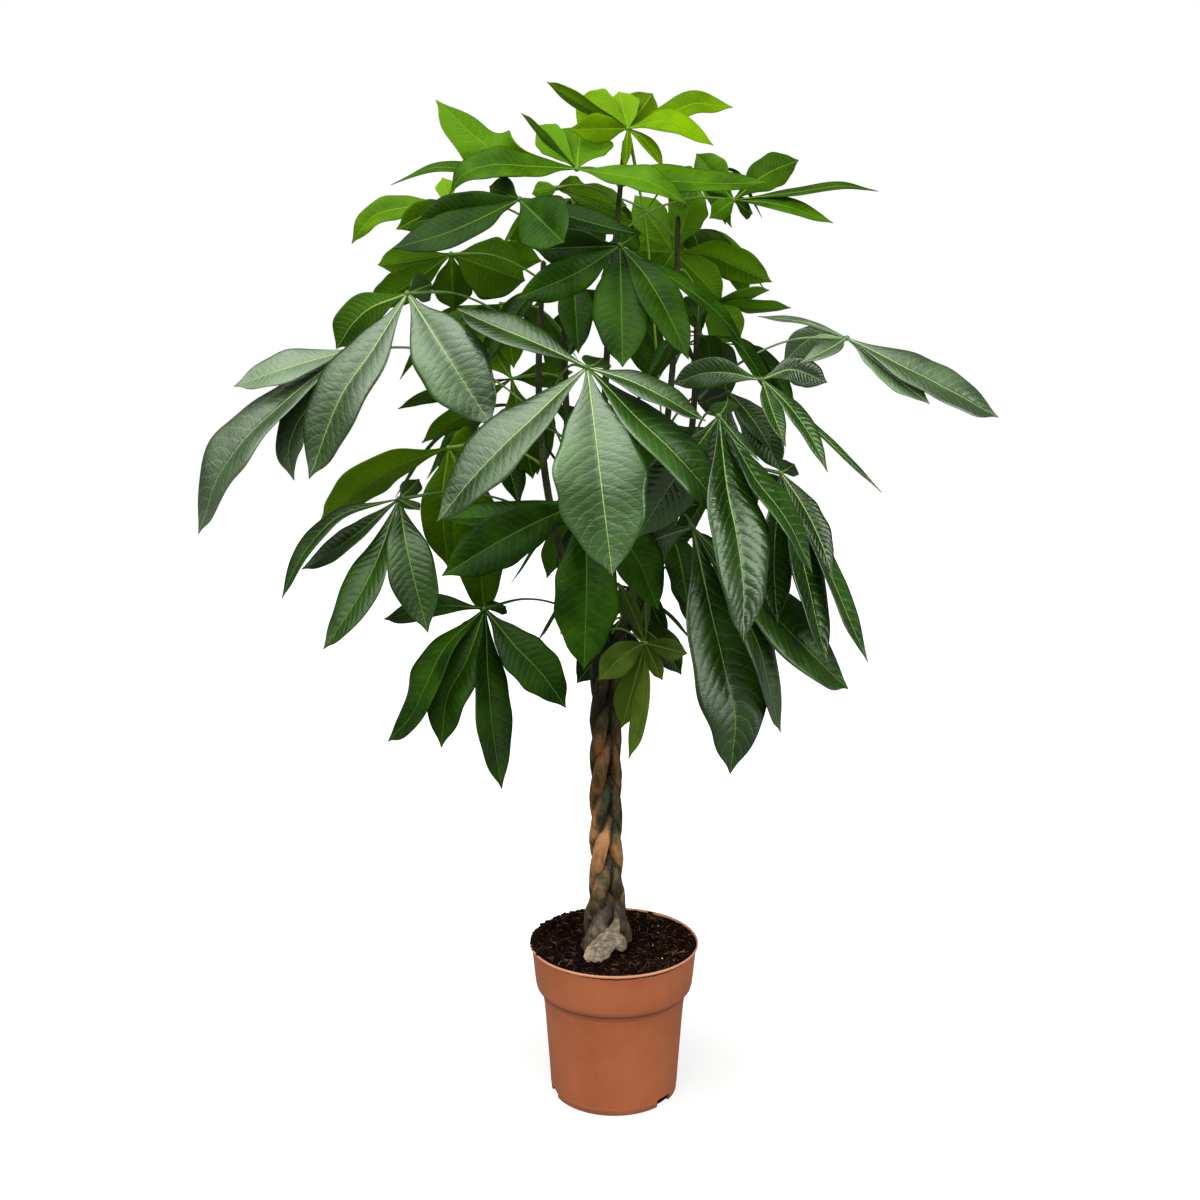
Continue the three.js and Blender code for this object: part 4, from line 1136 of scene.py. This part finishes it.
def scatter(name, template, spots, material):
    """Copies of one small form as a single piece, each turned, sized and toned in its own way."""
    corners = np.array([v.co[:] for v in template.data.vertices])
    faces = [list(polygon.vertices) for polygon in template.data.polygons]
    all_corners, all_faces, tones = [], [], []
    for matrix, tone in spots:
        start = len(corners) * len(tones)
        placed = corners @ np.array(matrix.to_3x3()).T + np.array(matrix.translation)
        all_corners.append(placed)
        all_faces += [[start + corner for corner in face] for face in faces]
        tones.append(tone)
    mesh = bpy.data.meshes.new(name)
    mesh.from_pydata(np.concatenate(all_corners).tolist(), [], all_faces)
    piece = added(name, mesh)
    give(piece, "tone", np.repeat(tones, len(corners)))
    dress(piece, material)
    bpy.data.objects.remove(template)
    smooth(piece)
    return piece


def make_crumb(roughness, seed):
    leave_all()
    bpy.ops.mesh.primitive_ico_sphere_add(subdivisions=1, radius=1.0)
    crumb = bpy.context.object
    for vertex in crumb.data.vertices:
        vertex.co *= 1 + roughness * noise.noise(vertex.co * 1.3 + Vector((seed, 0, 0)))
    return crumb


def soil_spots(count, draw, size, stretch, lift, area=(0, 112), sector=(0, 360)):
    """Places on the soil, or on the pot's rim, each with a size, a turn and a tone."""
    spots = []
    for _ in range(count):
        radius = math.sqrt(draw.uniform(area[0] ** 2, area[1] ** 2))
        x, y = polar(radius, math.radians(draw.uniform(*sector)))
        scale = draw.uniform(*size) * MM
        shape = Matrix.Diagonal((scale * draw.uniform(*stretch), scale, scale * 0.8, 1))
        turn = Euler([draw.uniform(-0.5, 0.5), draw.uniform(-0.5, 0.5),
                      draw.uniform(0, NEAR_TURN)]).to_matrix().to_4x4()
        ground = soil_height(x, y)
        if radius > RIM_FOOT:
            ground = max(ground, POT_HEIGHT - 0.4)
        spot = Vector((x, y, ground + lift * scale / MM)) * MM
        spots.append((Matrix.Translation(spot) @ turn @ shape, draw.random()))
    return spots


def make_litter():
    draw = random.Random(41)
    bend = np.array([[-1, 0, 0.02], [-0.45, 0.22, 0.10], [0.1, 0.16, 0.13], [0.6, -0.12, 0.08],
                     [1, -0.05, 0.0]])
    dark, brown = (0.0013, 0.0007, 0.0006), (0.021, 0.0085, 0.0055)

    def strew(name, form, spots, *look):
        """Copies of a form on the soil, in a material from soil's colours and their scale."""
        piece = scatter(name, form, soil_spots(spots[0], draw, *spots[1:]),
                        make_soil_material(name + "_skin", *look))
        hand_in(piece, "potting_soil")

    strew("soil_crumbs", make_crumb(0.9, 3.0),
          (2600, (0.6, 1.9), (0.7, 2.0), 0.3), dark, brown, 160.0)
    strew("soil_clods", make_crumb(1.1, 6.0),
          (260, (2.0, 4.2), (0.8, 1.6), 0.1, (0, 113)), dark, (0.018, 0.007, 0.0045), 220.0)
    strew("soil_on_rim", make_crumb(1.0, 4.0),
          (620, (1.0, 2.6), (0.7, 1.8), 0.35, (110, 117.4), (98, 205)), dark, brown, 180.0)
    strew("perlite", make_crumb(0.5, 9.0),
          (8, (0.8, 1.3), (0.9, 1.3), 1.0, (35, 108)),
          (0.55, 0.52, 0.47), (0.78, 0.76, 0.72), 300.0)
    strew("soil_fibres", tube("fibre", bend, np.array([0.02, 0.035, 0.04, 0.03, 0.015]), 3, 6),
          (620, (2.6, 9.0), (0.8, 1.4), 0.10),
          (0.05, 0.022, 0.011), (0.30, 0.165, 0.085), 120.0)


make_soil()
make_litter()


# ---- Stage, lights and camera ----

EYE = Vector((-0.020, -2.000, 1.100))
PITCH = math.radians(10.9)
FOCAL = 44.9
# The way to the brightest part of the room.
BRIGHT_WAY = (-0.36, -0.49, 0.79)


def add_camera():
    data = bpy.data.cameras.new("camera")
    data.lens = FOCAL
    data.sensor_width = 36.0
    camera = added("camera", data)
    camera.location = EYE
    camera.rotation_euler = (math.pi / 2 - PITCH, 0, 0)
    bpy.context.scene.camera = camera


def add_softbox(name, place, target, size, power):
    data = bpy.data.lights.new(name, "AREA")
    data.shape = "RECTANGLE"
    data.size, data.size_y = size
    data.energy = power
    light = added(name, data)
    light.location = place
    aim = Vector(target) - Vector(place)
    light.rotation_euler = aim.to_track_quat("-Z", "Y").to_euler()


def light_room():
    """A dim room that is bright up in front on the left, and that shows as plain white."""
    world = bpy.data.worlds.new("studio")
    bpy.context.scene.world = world
    world.use_nodes = True
    g = Graph(world.node_tree)
    way = g.add("ShaderNodeTexCoord").outputs["Generated"]
    lit = g.vector_maths("DOT_PRODUCT", way, BRIGHT_WAY)
    shade = g.mix(g.between(lit, 0.35, 0.97), (0.05, 0.052, 0.05), (3.1, 3.14, 3.02))
    seen = g.add("ShaderNodeLightPath").outputs["Is Camera Ray"]
    back = world.node_tree.nodes["Background"]
    world.node_tree.links.new(g.mix(seen, shade, (1.0, 1.0, 1.0)), back.inputs["Color"])
    back.inputs["Strength"].default_value = 1.0


def make_floor():
    """A round floor, dim grey to the lights, that only the camera sees glowing white, more so
    towards its edge, so that it fades into the white behind it.
    """
    leave_all()
    bpy.ops.mesh.primitive_circle_add(vertices=96, radius=6.0, fill_type="NGON")
    floor = named("floor")
    g, place, finish = new_material("floor_paper", Specular_IOR_Level=0.1)
    shader = g.tree.nodes["Principled BSDF"]
    away = g.vector_maths("LENGTH", place)
    seen = g.add("ShaderNodeLightPath").outputs["Is Camera Ray"]
    # Painted light: a glow that only the camera sees, weaker near the middle.
    glow = g.times(seen, g.spread(g.between(away, 0.1, 0.7), 0.75, 1.1))
    g.tree.links.new(glow, shader.inputs["Emission Strength"])
    shader.inputs["Emission Color"].default_value = (1.0, 1.0, 1.0, 1.0)
    grey = g.mix(g.noise(place, 2.0), (0.20, 0.20, 0.20), (0.22, 0.22, 0.22))
    dress(floor, finish(grey, g.spread(g.noise(place, 40.0), 0.8, 0.9)))


add_camera()
add_softbox("key", (-1.2, -2.0, 3.3), (0, 0, 0.8), (2.4, 2.0), 30)
add_softbox("fill", (2.6, -1.7, 1.4), (0, 0, 0.4), (1.8, 1.8), 52)
add_softbox("side", (1.7, -0.7, 0.42), (0, 0, 0.12), (0.8, 0.8), 6)
light_room()
make_floor()
bpy.context.scene.view_settings.view_transform = "Standard"
